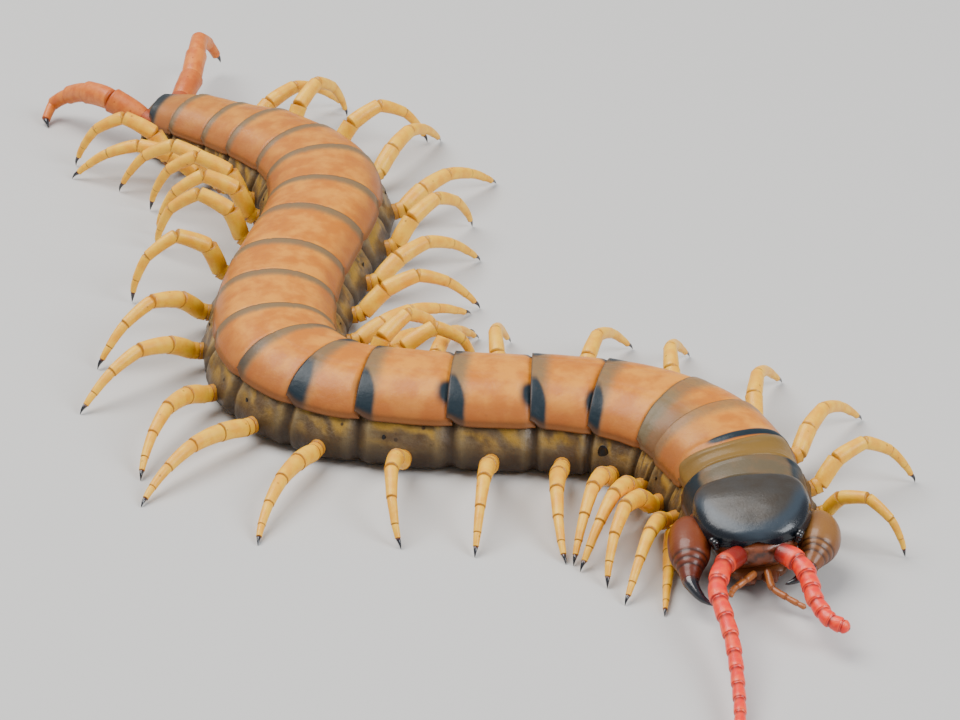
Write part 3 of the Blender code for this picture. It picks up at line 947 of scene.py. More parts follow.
@dataclass(frozen=True)
class LegFinish:
    """Amber leg with thin brown rings at its joints, orange-brown near the hip as painted shade where it
    leaves the body.
    """

    name: str = "walking leg"
    amber: tuple = (0.880, 0.390, 0.008)
    cream: tuple = (0.960, 0.520, 0.022)
    ring: tuple = (0.220, 0.055, 0.005)
    # Orange-brown near the hip: painted shade under the body's flank
    root: tuple = (0.420, 0.160, 0.010)
    gloss: Gloss = Gloss(0.34, 0.2, 0.03, 0.4, 0.10, 0.12)
    cloud_size: float = 1.1
    grain_size: float = 0.15
    cloud_edge: tuple = (0.35, 0.65)
    root_edge: tuple = (0.26, 0.0)
    root_shade_share: float = 0.85
    end_edge: tuple = (0.955, 0.985)
    start_edge: tuple = (0.03, 0.0)
    start_share: float = 0.7
    ring_least: float = 0.5
    ring_cloud: float = 0.4
    dot_spacing: float = 1.6
    dot_edge: tuple = (0.10, 0.04)
    dot_share: float = 0.6

    def made(self) -> bpy.types.Material:
        """Mix the colours by the marks along, within an article, and article.

        Returns:
            The material.
        """
        paint = Paint(self.name)
        along = paint.mark("along")
        cloud = paint.spots(self.cloud_size)
        colour = paint.mix(cloud.step(*self.cloud_edge), self.amber, self.cream)
        # Painted shade on the first articles, where the leg leaves the body
        colour = paint.mix(paint.mark("article").step(*self.root_edge) * self.root_shade_share, colour, self.root)
        ring = along.step(*self.end_edge) + along.step(*self.start_edge) * self.start_share
        colour = paint.mix(ring * (self.ring_least + cloud * self.ring_cloud), colour, self.ring)
        dots = paint.cells(self.dot_spacing).step(*self.dot_edge)
        colour = paint.mix(dots * self.dot_share, colour, self.ring)
        return paint.done(colour, self.gloss, paint.spots(self.grain_size))


@dataclass(frozen=True)
class FloorFinish:
    """Plain pale floor with a hardly visible cloud."""

    pale: tuple = (0.560, 0.550, 0.535)
    darker: tuple = (0.50, 0.49, 0.48)
    cloud_size: float = 30.0
    cloud_share: float = 0.15

    def made(self) -> bpy.types.Material:
        """Mix the two greys in large clouds.

        Returns:
            The material.
        """
        paint = Paint("floor")
        colour = paint.mix(paint.spots(self.cloud_size) * self.cloud_share, self.pale, self.darker)
        return paint.done(colour, Gloss(0.75))


EYE = BlackFinish("eye", (0.004, 0.004, 0.006), (0.030, 0.014, 0.008), (0.5, 0.8),
                  Gloss(0.14, 0.08, 0.01, coat=0.5, coat_roughness=0.05))
HOLE = BlackFinish("breathing hole", (0.006, 0.006, 0.008), (0.020, 0.010, 0.006), (0.5, 0.75),
                   Gloss(0.25, 0.15, 0.02, 0.3))
OLIVE_FANG = FangFinish("left fang base", (0.150, 0.040, 0.007), (0.250, 0.110, 0.024), (0.022, 0.005, 0.002))
# Last legs: their fourth colour is the painted shade near the hip
SALMON_LEG = LegFinish("last leg", (0.600, 0.125, 0.012), (0.740, 0.210, 0.025), (0.300, 0.045, 0.006),
                       (0.340, 0.050, 0.012))


class Finishes:
    """Every material of the model, made once."""

    def __init__(self) -> None:
        """Make each finish."""
        self.plate = PlateFinish().made()
        self.skin = SkinFinish().made()
        self.head = HeadFinish().made()
        self.mouth = MouthFinish().made()
        self.feeler = FeelerFinish().made()
        self.palp = PalpFinish().made()
        self.fangs = {Side.RIGHT: FangFinish().made(), Side.LEFT: OLIVE_FANG.made()}
        self.claw = ClawFinish().made()
        self.eye = EYE.made()
        self.hole = HOLE.made()
        self.leg = LegFinish().made()
        self.last_leg = SALMON_LEG.made()


# Trunk


@dataclass
class Stations:
    """Places on the trunk, with their directions and sizes, as arrays."""

    middle: np.ndarray
    along: np.ndarray
    right: np.ndarray
    over: np.ndarray
    heading: np.ndarray
    width: np.ndarray
    back: np.ndarray
    arch: np.ndarray
    belly: np.ndarray

    def at(self, out: np.ndarray, up: np.ndarray) -> np.ndarray:
        """Points out from the middle and up, one row of them for each place."""
        level = self.middle[:, None] + self.right[:, None] * out[..., None]
        return level + self.over[:, None] * up[..., None]

    def point(self, out: float, up: float) -> np.ndarray:
        """One point out from the middle of the first place and up."""
        return self.at(np.array([[out]]), np.array([[up]]))[0, 0]

    def arch_height(self, across: np.ndarray) -> np.ndarray:
        """Height of the back.

        Args:
            across: distances from its middle, one row for each place.

        Returns:
            A height for each distance.
        """
        half = self.width[:, None] / 2 / math.sin(BACK_EDGE)
        angle = np.arcsin(np.clip(across / half, -1, 1))
        return self.back[:, None] - self.arch[:, None] * (1 - np.cos(angle)) / (1 - math.cos(BACK_EDGE))


@dataclass(frozen=True)
class TrunkPath:
    """The trunk's way over the floor: an arc of a circle for each back plate."""

    start: tuple = (27.85, -32.51)
    first_heading: float = 92.0
    lengths: tuple = (3.0, 3.0, 5.2, 4.3, 7.4, 6.3, 7.2, 7.8, 4.4, 5.2, 5.0,
                      7.3, 6.5, 8.2, 6.8, 7.5, 5.6, 6.2, 4.6, 5.3, 4.4)
    headings: tuple = (99, 107, 119, 141, 165, 178, 175, 168, 144, 123, 98,
                       87, 80, 76, 84, 104, 128, 136, 141, 144, 158)
    rolls: tuple = ((0, 5.0), (3, 4.0), (6, 0.0))
    widths: tuple = ((0, 9.8), (1, 10.3), (3, 11.5), (16, 11.5), (18, 10.4), (19, 9.0), (20, 8.2), (21, 6.6))
    full_width: float = 11.5
    belly_heights: tuple = ((0, 0.7), (3, 0.6), (6, 0.3))
    back_height: float = 8.0
    back_power: float = 0.7
    back_arch: float = 2.55

    def arcs(self) -> list:
        """Arc of every segment.

        Returns:
            A start point, first heading, turn and length for each.
        """
        found = []
        point = np.array((*self.start, 0.0))
        heading = self.first_heading
        for length, end in zip(self.lengths, self.headings):
            found.append((point, heading, end - heading, length))
            point = self.arc_point(found[-1], 1.0)
            heading = end
        return found

    @staticmethod
    def arc_point(arc: tuple, part: float) -> np.ndarray:
        """Point on an arc.

        Args:
            arc: the arc, as arcs gives it.
            part: how far along it, from 0 to 1.

        Returns:
            The point on the floor.
        """
        start, first, turn, length = arc
        a = math.radians(first)
        b = math.radians(first + turn * part)
        radius = length / math.radians(turn)
        return start + np.array((math.sin(b) - math.sin(a), math.cos(a) - math.cos(b), 0.0)) * radius

    def stations(self, places: np.ndarray) -> Stations:
        """Directions and sizes of the trunk.

        Args:
            places: places counted in segments from the front.

        Returns:
            The stations, one for each place.
        """
        places = np.atleast_1d(np.asarray(places, float))
        arcs = self.arcs()
        segments = np.clip(places, 0, SEGMENTS - 1).astype(int)
        ways = [(arcs[segment], place - segment) for segment, place in zip(segments, places)]
        heading = np.array([arc[1] + arc[2] * part for arc, part in ways])
        roll = np.radians(along_pairs(self.rolls, places))[:, None]
        flat = flat_direction(heading + SQUARE)
        width = along_pairs(self.widths, places)
        size = width / self.full_width
        return Stations(
            middle=np.array([self.arc_point(arc, part) for arc, part in ways]),
            along=flat_direction(heading),
            right=flat * np.cos(roll) - UP * np.sin(roll),
            over=UP * np.cos(roll) + flat * np.sin(roll),
            heading=heading,
            width=width,
            back=self.back_height * size ** self.back_power,
            arch=self.back_arch * size,
            belly=along_pairs(self.belly_heights, places))

    def head_points(self, places: np.ndarray) -> np.ndarray:
        """Points given in the head's frame.

        Args:
            places: distances forward of the trunk, to its right and up.

        Returns:
            The points.
        """
        first = self.stations(0.0)
        places = np.asarray(places, float)
        return (first.middle[0] - places[..., :1] * first.along[0] + places[..., 1:2] * first.right[0]
                + places[..., 2:3] * first.over[0])


PATH = TrunkPath()


@dataclass(frozen=True)
class Skin:
    """Soft flanks and belly in one surface from the neck to the tail."""

    finishes: Finishes
    rows_each: int = 18
    half_columns: int = 44
    reach: tuple = (-0.12, 0.10)
    neck: tuple = (0.55, 0.8, 0.93, 0.98)
    tail: tuple = ((0.16, 0.93), (0.21, 0.80), (0.24, 0.55), (0.25, 0.2))
    middle_height: float = 3.0
    drop: float = 0.5
    back_outs: tuple = (0.0, 0.20, 0.38)
    flank_heights: tuple = (0.88, 0.74, 0.56, 0.38, 0.20)
    belly_heights: tuple = (1.6, 1.0, 1.0, 1.0)
    lower_outs: tuple = (0.465, 0.515, 0.56, 0.585, 0.575, 0.53, 0.44, 0.28, 0.0)
    flank_rise: tuple = (0.24, 0.32)
    flank_fall: tuple = (0.80, 0.66)
    upper_rise: tuple = (0.26, 0.31)
    upper_fall: tuple = (0.52, 0.42)
    joint_spread: float = 0.06
    ridges: tuple = (0.13, 0.87)
    ridge_spread: float = 0.05
    plump_power: float = 0.7
    wrinkle_rise: tuple = (0.10, 0.25)
    wrinkle_fall: tuple = (0.90, 0.75)
    wrinkle_turns: tuple = (24, 7, 1.7, 1.6)
    glow_rise: tuple = (0.06, 0.18)
    glow_fall: tuple = (0.95, 0.80)
    glow_turns: tuple = (26, 6, 2.3, 2.2)
    glow_edge: tuple = (0.25, 0.85)
    leg_root: tuple = (0.5, 0.17, 0.56, 0.07)
    # How the stripes sway: steps along a segment, from one to the next and downwards, and the pattern
    sway: tuple = (4, 7, 9)
    sway_seed: int = 5
    # How far each form stands out of the flank, and how much the wrinkles get of the folds' painted shade
    ridge_out: float = 0.14
    plump_out: float = 0.30
    joint_in: float = 0.34
    wrinkle_in: float = 0.14
    flank_in: float = 0.25
    root_out: float = 0.25
    wrinkle_shade: float = 0.30
    ripples: tuple = ((0.09, 1.6, 1.1, 3), (0.06, 2.0, 0.5, 4))

    def outline(self, stations: Stations) -> tuple[np.ndarray, np.ndarray]:
        """Half outline from the back's middle to the belly's.

        Args:
            stations: places on the trunk.

        Returns:
            Distances out and up, a row for each place.
        """
        width = stations.width[:, None]
        back = np.array(self.back_outs) * width
        high = np.array(self.flank_heights) * (stations.back - stations.arch)[:, None]
        low = np.array(self.belly_heights) * stations.belly[:, None]
        out = np.concatenate([back, np.array(self.lower_outs) * width], 1)
        up = np.concatenate([stations.arch_height(back) - self.drop, high, low], 1)
        knots = np.stack([out, up, 0 * out], -1)
        dense = np.array([smooth_way(row, self.half_columns) for row in knots])
        return dense[..., 0], dense[..., 1]

    def build(self) -> None:
        """Skin with a deep fold between segments and slanting wrinkles on the flanks."""
        start, end = self.reach
        inner = np.linspace(start, SEGMENTS + end, SEGMENTS * self.rows_each)
        tail = np.array(self.tail)
        places = np.concatenate([inner, SEGMENTS + tail[:, 0]])
        shrink = np.concatenate([np.ones(len(inner)), tail[:, 1]])[:, None]
        shrink[:len(self.neck), 0] = self.neck
        stations = PATH.stations(places)
        out, up = self.outline(stations)
        number = np.floor(places)[:, None]
        part = places[:, None] - number
        down = np.linspace(0, 1, self.half_columns)[None]
        along, onward, downward = self.sway
        sway = hills_on((part * along + number * onward, down * downward, 0 * part), 1.0, self.sway_seed)

        def stripes(turns: tuple) -> np.ndarray:
            """Slanting stripes from their turns downwards, along, from segment to segment and in sway."""
            return np.sin(down * turns[0] + part * turns[1] + number * turns[2] + turns[3] * sway) ** 2

        flank = between(down, self.flank_rise, self.flank_fall)
        upper = between(down, self.upper_rise, self.upper_fall)
        joint = bell(part, 0.0, self.joint_spread) + bell(part, 1.0, self.joint_spread)
        ridge = sum(bell(part, place, self.ridge_spread) for place in self.ridges)
        plump = np.sin(math.pi * part) ** self.plump_power
        wrinkle = stripes(self.wrinkle_turns) * upper * between(part, self.wrinkle_rise, self.wrinkle_fall)
        middle, length, low, height = self.leg_root
        root = bell(part, middle, length) * bell(down, low, height)
        # Painted shade: the mark fold darkens the folds between segments and the wrinkles
        folds = np.clip(joint + self.wrinkle_shade * wrinkle, 0, 1)
        push = self.ridge_out * ridge + self.plump_out * plump - self.joint_in * joint
        push = flank * (push - self.wrinkle_in * wrinkle - self.flank_in) + self.root_out * root
        out = out * shrink + push
        up = (up - self.middle_height) * shrink + self.middle_height
        glow = upper * ease(*self.glow_edge, stripes(self.glow_turns))
        glow = glow * between(part, self.glow_rise, self.glow_fall)

        def both(values: np.ndarray, mirror: int = 1) -> np.ndarray:
            """Values of the right half followed by those of the left, times a mirror."""
            values = np.broadcast_to(values, out.shape)
            return np.concatenate([values, mirror * values[:, -2:0:-1]], 1)

        rings = stations.at(both(out, -1), both(up))
        outward = unit(rings - stations.middle[:, None] - UP * self.middle_height)
        ripple = sum(height * hills(rings * (1.0, 1.0, squash), size, seed)
                     for height, squash, size, seed in self.ripples)
        rings = rings + outward * (ripple * both(flank))[..., None]
        shape = Shape.loft(rings, down=both(down), fold=both(folds * flank), glow=both(glow),
                           ridge=both(ridge * flank))
        shape.made("skin", self.finishes.skin, "plates", *[f"trunk_{i + 1}" for i in range(TRUNK_NODES)])


@dataclass(frozen=True)
class Spiracles:
    """Black breathing holes set in the flanks by Geometry Nodes."""

    finishes: Finishes
    segments: tuple = (3, 5, 8, 10, 12, 14, 16, 18, 20)
    place: float = -0.30
    out: float = 0.545
    height: float = 0.62
    size: float = 0.32
    big_segment: int = 5
    big_size: float = 0.85
    form: tuple = (0.20, 0.60, 1.0)
    columns: int = 20
    rows: int = 12

    def places(self) -> np.ndarray:
        """Where the holes are.

        Returns:
            A row for each: its place, its outward direction and its size.
        """
        rows = []
        for number in self.segments:
            station = PATH.stations(number + self.place)
            height = self.height * float((station.back - station.arch)[0])
            size = self.big_size if number == self.big_segment else self.size
            for side in Side:
                point = station.point(side.sign * self.out * float(station.width[0]), height)
                rows.append((*point, *(station.right[0] * side.sign), size))
        return np.array(rows)

    def tree(self) -> bpy.types.NodeTree:
        """Tree that puts a flattened button on every point, turned to the mark facing.

        Returns:
            The tree.
        """
        growth = Growth("breathing holes", Size="Float")
        ball = growth.node("GeometryNodeMeshUVSphere", {}, Segments=self.columns, Rings=self.rows,
                           Radius=growth.given("Size"))
        turn = growth.node("FunctionNodeAlignRotationToVector", {"axis": "X"},
                           Vector=growth.stored("facing", "FLOAT_VECTOR"))
        big = growth.stored("big", "FLOAT")
        form = growth.node("ShaderNodeCombineXYZ", {}, *[big * share for share in self.form])
        return growth.done(growth.node("GeometryNodeInstanceOnPoints", {}, Points=growth.given("Geometry"),
                                       Instance=ball, Rotation=turn, Scale=form))

    def build(self) -> None:
        """All breathing holes as one piece."""
        rows = self.places()
        mesh = bpy.data.meshes.new("breathing_holes")
        mesh.from_pydata((rows[:, :3] * MM).tolist(), [], [])
        facing = mesh.attributes.new("facing", "FLOAT_VECTOR", "POINT")
        facing.data.foreach_set("vector", rows[:, 3:6].ravel())
        mesh.attributes.new("big", "FLOAT", "POINT").data.foreach_set("value", rows[:, 6])
        grown("breathing_holes", mesh, self.tree(), {"Size": MM, "Finish": self.finishes.hole}, "plates")


# Back plates


@dataclass(frozen=True)
class PlateLook:
    """Form and colours of one back plate.

    Attributes:
        band: length of the rear band as a share of the plate.
        band_strength: how olive the band is.
        dusk: how blue-black it is.
        flare: how much the blue-black keeps to the sides.
        tan: how tan the whole plate is.
        grey: how grey the whole plate is.
        right_grey: how grey its right side is.
        front_line: dark line along the front.
        front_patch: dark patches at the front's sides.
        ends: dark ends.
        spread: width as a share of the trunk's.
        sweep: how far its front corners reach forward.
        front_bow: how far the middle of its front edge reaches forward.
        rear_bow: how far the middle of its rear edge does.
        groove: depth of its two grooves.
        bulges: place, spread and height of each cross ridge.
        taper: how much narrower its rear is.
    """

    band: float = 0.17
    band_strength: float = 0.95
    dusk: float = 0.30
    flare: float = 0.0
    tan: float = 0.0
    grey: float = 0.0
    right_grey: float = 0.0
    front_line: float = 0.0
    front_patch: float = 0.0
    ends: float = 0.0
    spread: float = 1.0
    sweep: float = 0.0
    front_bow: float = 0.0
    rear_bow: float = 0.0
    groove: float = 0.05
    bulges: tuple = ()
    taper: float = 0.0


@dataclass(frozen=True)
class BackPlates:
    """Twenty-one hard plates, each lying over the front of the next."""

    finishes: Finishes
    columns: int = 56
    under_columns: int = 14
    rows: int = 44
    # How a plate's form changes along it: a start value, then the amount, begin and end of each step
    width_steps: tuple = (0.965, (0.035, 0.0, 0.15), (-0.012, 0.88, 1.0))
    lift_steps: tuple = (-0.42, (0.44, 0.0, 0.16), (0.06, 0.80, 0.98))
    thick_steps: tuple = (1.0, (-0.45, 0.9, 1.0))
    lift_slope: float = 0.10
    taper_edge: tuple = (0.55, 1.0)
    tuck: float = 0.02
    overlap: float = 0.35
    thickness: float = 0.26
    lip: tuple = (1.004, 1.004)
    lip_drop: float = 0.10
    lip_thickness: float = 0.5
    hang: float = 0.46
    middle_hang: float = 0.16
    middle_part: tuple = ((0.0, 0.20), (1.0, 0.84))
    hang_power: int = 6
    corner: float = 0.03
    corner_edge: tuple = (0.80, 1.0)
    corner_power: int = 8
    edge_turn: tuple = (0.25, 0.60, 0.92)
    edge_swell: float = 0.10
    edge_roll: float = 0.06
    roll_part: tuple = ((0.86, 0.95), (1.0, 0.95))
    under_reach: float = 0.96
    groove_place: float = 0.30
    groove_spread: float = 0.018
    hill_height: float = 0.04
    hill_size: float = 1.6
    # Where the colour marks fade, as shares of the plate's length or half width
    band_fade: tuple = (1.5, 0.4)
    dusk_fade: tuple = (1.25, 0.45)
    flare_edge: tuple = (0.10, 0.70)
    middle_edge: tuple = (0.85, 0.20)
    middle_narrowing: float = 0.7
    patch_length: tuple = (0.30, 0.06)
    patch_part: tuple = ((0.22, 0.62), (1.02, 0.68))
    line_place: float = 0.22
    line_spread: float = 0.06
    line_edge: tuple = (0.6, 0.2)
    ends_edge: tuple = (0.58, 0.90)
    side_edge: tuple = (0.62, 1.0)
    rim_edge: tuple = (0.955, 0.99)
    rear_rim: float = 0.8
    rear_rim_edge: tuple = (0.975, 0.995)
    right_edge: tuple = (-0.2, 0.6)
    greying_from: int = 14
    greying: float = 0.03

    def look(self, number: int) -> PlateLook:
        """Form and colours of a plate.

        Args:
            number: which plate, from the front.

        Returns:
            Its look.
        """
        ridge = (0.24, 0.07, 0.20)
        special = {
            1: PlateLook(0.20, 0.2, 0.2, grey=1.0, ends=1.2, spread=1.09, sweep=1.3, rear_bow=0.8,
                         groove=0.0),
            2: PlateLook(0.25, 0.3, 0.1, tan=1.0, spread=0.97, sweep=0.9, front_bow=0.8, rear_bow=1.6,
                         groove=0.0, bulges=(ridge, (0.90, 0.10, 0.16), (0.58, 0.14, -0.10))),
            3: PlateLook(0.25, 0.7, 0.1, right_grey=0.2, front_line=1.3, spread=1.025, sweep=0.8,
                         front_bow=1.6, groove=0.0, bulges=(ridge,)),
            4: PlateLook(0.40, 0.8, 0.2, right_grey=0.8, sweep=0.3),
            5: PlateLook(0.24, 0.9, 1.0, flare=0.9),
            6: PlateLook(0.26, 0.9, 1.2, flare=0.9, front_patch=0.9),
            7: PlateLook(0.22, 0.9, 1.2, flare=0.9, front_patch=1.0),
            8: PlateLook(0.22, 0.9, 1.2, flare=0.9, front_patch=1.0),
            9: PlateLook(0.32, 0.95, 1.0, flare=0.8, front_patch=0.5),
            10: PlateLook(0.22, 0.95, 0.5, flare=0.4),
            21: PlateLook(0.35, 0.9, 0.7, grey=0.35, taper=0.22),
        }
        return special.get(number, PlateLook(grey=self.greying * max(number - self.greying_from, 0)))

    def section(self, number: int, u: np.ndarray,
                stations: Stations) -> tuple[np.ndarray, np.ndarray, np.ndarray]:
        """Cross-sections of a plate: over its top, round one edge, back underneath and round the other.

        Args:
            number: which plate, from the front.
            u: places along it, from 0 to 1 and the lip.
            stations: places on the trunk for them.

        Returns:
            Distances out and up, a row for each place, and the share of the half width in a row.
        """
        look = self.look(number)
        share = look.spread * raised(u, *self.width_steps) - look.taper * ease(*self.taper_edge, u) ** 2
        lift = raised(u, *self.lift_steps) + self.lift_slope * u
        for place, spread, height in look.bulges:
            lift = lift + height * bell(u, place, spread)
        lift = (lift - self.lip_drop * (u > 1.0))[:, None]
        thick = self.thickness * raised(u, *self.thick_steps)
        thick = np.where(u > 1.0, thick * self.lip_thickness, thick)[:, None]
        hang = (self.hang + self.middle_hang * between(u, *self.middle_part))[:, None]
        v = np.sin(np.linspace(-1, 1, self.columns) * BACK_EDGE) / math.sin(BACK_EDGE)
        size = np.abs(v)
        corner = self.corner * ease(*self.corner_edge, u)[:, None] * size ** self.corner_power
        half = stations.width[:, None] / 2 * share[:, None]
        across = v[None] * half * (1 - corner)
        roll = self.edge_roll * between(size, *self.roll_part)
        grooves = look.groove * bell(size, self.groove_place, self.groove_spread)
        top = stations.arch_height(across) + lift + roll - grooves - hang * size ** self.hang_power
        along = u[:, None] * PATH.lengths[number - 1]
        top += self.hill_height * hills_on((across, top * 0, along), self.hill_size, number)
        turn = np.array(self.edge_turn)
        rim_out = half * (1 - corner[:, -1:]) + self.edge_swell * np.sin(turn * math.pi)
        under_v = np.linspace(self.under_reach, -self.under_reach, self.under_columns)
        under = under_v * half
        low = stations.arch_height(under) + lift - thick - hang * np.abs(under_v) ** self.hang_power
        out = np.concatenate([across, rim_out, under, -rim_out[:, ::-1]], 1)
        up = np.concatenate([top, top[:, -1:] - thick * turn, low, top[:, :1] - thick * turn[::-1]], 1)
        return out, up, np.concatenate([v, np.ones(len(turn)), under_v, -np.ones(len(turn))])[None]

    def marks(self, look: PlateLook, u: np.ndarray, v: np.ndarray) -> dict:
        """Colour marks of a plate.

        Args:
            look: its look.
            u: places along it, as a column.
            v: places across it, from -1 on the left to 1 on the right, as a row.

        Returns:
            The marks by name.
        """
        size = np.abs(v)
        wide, narrow = self.band_fade
        band = ease(1 - look.band * wide, 1 - look.band * narrow, u)
        flare = look.flare * ease(*self.flare_edge, size)
        reach = look.band * (1 - look.flare * ease(*self.middle_edge, size) * self.middle_narrowing)
        wide, narrow = self.dusk_fade
        dusk = look.dusk * ease(1 - reach * wide, 1 - reach * narrow, u) * (1 - look.flare + flare)
        dusk = dusk + look.front_patch * ease(*self.patch_length, u) * between(size, *self.patch_part)
        line = bell(u, self.line_place, self.line_spread) * ease(*self.line_edge, v)
        rear_rim = self.rear_rim * ease(*self.rear_rim_edge, u)
        return {"band": look.band_strength * band,
                "dusk": dusk + look.front_line * line + look.ends * ease(*self.ends_edge, size),
                "side": ease(*self.side_edge, size),
                "rim": np.maximum(ease(*self.rim_edge, size), rear_rim),
                "tan": look.tan,
                "grey": look.grey + look.right_grey * ease(*self.right_edge, v)}

    def plate(self, number: int) -> Shape:
        """One plate as a closed shell.

        Args:
            number: which plate, from the front.

        Returns:
            The shape with its colour marks.
        """
        look = self.look(number)
        u = np.concatenate([np.linspace(0, 1, self.rows), self.lip])
        far = np.minimum(u, 1.0)
        start = number - 1 - self.tuck
        end = number + (0.0 if number == SEGMENTS else self.overlap / PATH.lengths[number - 1])
        stations = PATH.stations(start + (end - start) * far)
        out, up, v = self.section(number, u, stations)
        far = far[:, None]
        shift = look.sweep * v ** 4 * (1 - far)
        shift = shift + (look.front_bow * (1 - far) + look.rear_bow * far) * (1 - v ** 2)
        rings = stations.at(out, up) - stations.along[:, None] * shift[..., None]
        return Shape.loft(rings, **self.marks(look, u[:, None], v))

    def build(self) -> None:
        """Every plate as a piece of its own."""
        for number in range(1, SEGMENTS + 1):
            self.plate(number).made(f"back_plate_{number:02d}", self.finishes.plate, "plates")


# Legs


# Rounded ends and slightly fuller far end of a leg's article: place along it and radius
ARTICLE_FORM = np.array((
    (-0.05, 0.20), (-0.045, 0.62), (-0.03, 0.84), (0.0, 0.94), (0.03, 0.97), (0.09, 0.99), (0.20, 1.01),
    (0.40, 1.01), (0.60, 1.00), (0.80, 1.00), (0.90, 1.01), (0.95, 1.02), (0.975, 1.02), (0.992, 0.97),
    (1.005, 0.86), (1.015, 0.35)))
ARTICLE_BOW = 0.03
ARTICLE_FLATNESS = 0.94
# Joint at which the mark article reaches 1, counted from the hip
LAST_JOINT = 6
# Claw from its root to its tip: place along it and radius
CLAW_FORM = np.array((
    (-0.12, 0.3), (-0.1, 0.8), (0.0, 1.0), (0.15, 0.92), (0.35, 0.74), (0.55, 0.55), (0.75, 0.36),
    (0.9, 0.20), (1.0, 0.06)))
CLAW_BOW = 0.12
CLAW_COLUMNS = 10
CLAW_SINK = 0.1
CLAW_LOWEST = 0.03


@dataclass(frozen=True)
class Limb:
    """A leg as a row of articles that ends in a claw."""

    root: np.ndarray
    points: np.ndarray
    radii: tuple
    columns: int
    claw_radius: float

    def article(self, number: int, start: np.ndarray, end: np.ndarray) -> Shape:
        """One article.

        Args:
            number: its place in the leg, from 0 at the hip.
            start: where it begins.
            end: where it ends.

        Returns:
            The closed shape.
        """
        near, far = self.radii[number]
        t, form = ARTICLE_FORM.T
        profile = np.stack([t, (near + (far - near) * np.clip(t, 0, 1)) * form], -1)
        bow = ARTICLE_BOW * float(np.linalg.norm(end - start))
        rings = rod_rings(start, end, profile, bow, self.columns, ARTICLE_FLATNESS)
        return Shape.loft(rings, along=t[:, None], article=number / LAST_JOINT)

    def build(self, leg: str, claw: str, node: str, slot: str, finish: bpy.types.Material,
              claw_finish: bpy.types.Material) -> None:
        """Make the leg and its claw.

        Args:
            leg: the leg's name.
            claw: the claw's name.
            node: the solid that the leg stands for.
            slot: the record's material slot.
            finish: the leg's finish.
            claw_finish: the claw's finish.
        """
        points = self.points.copy()
        points[-1][2] = max(points[-1][2] - CLAW_SINK, CLAW_LOWEST)
        joints = [self.root, *points[:-1]]
        shapes = [self.article(i, joints[i], joints[i + 1]) for i in range(len(self.radii))]
        Shape.together(shapes).made(leg, finish, slot, node)
        profile = CLAW_FORM * (1, self.claw_radius)
        rings = rod_rings(points[-2], points[-1], profile, CLAW_BOW, CLAW_COLUMNS)
        Shape.loft(rings, along=CLAW_FORM[:, :1]).made(claw, claw_finish, slot)


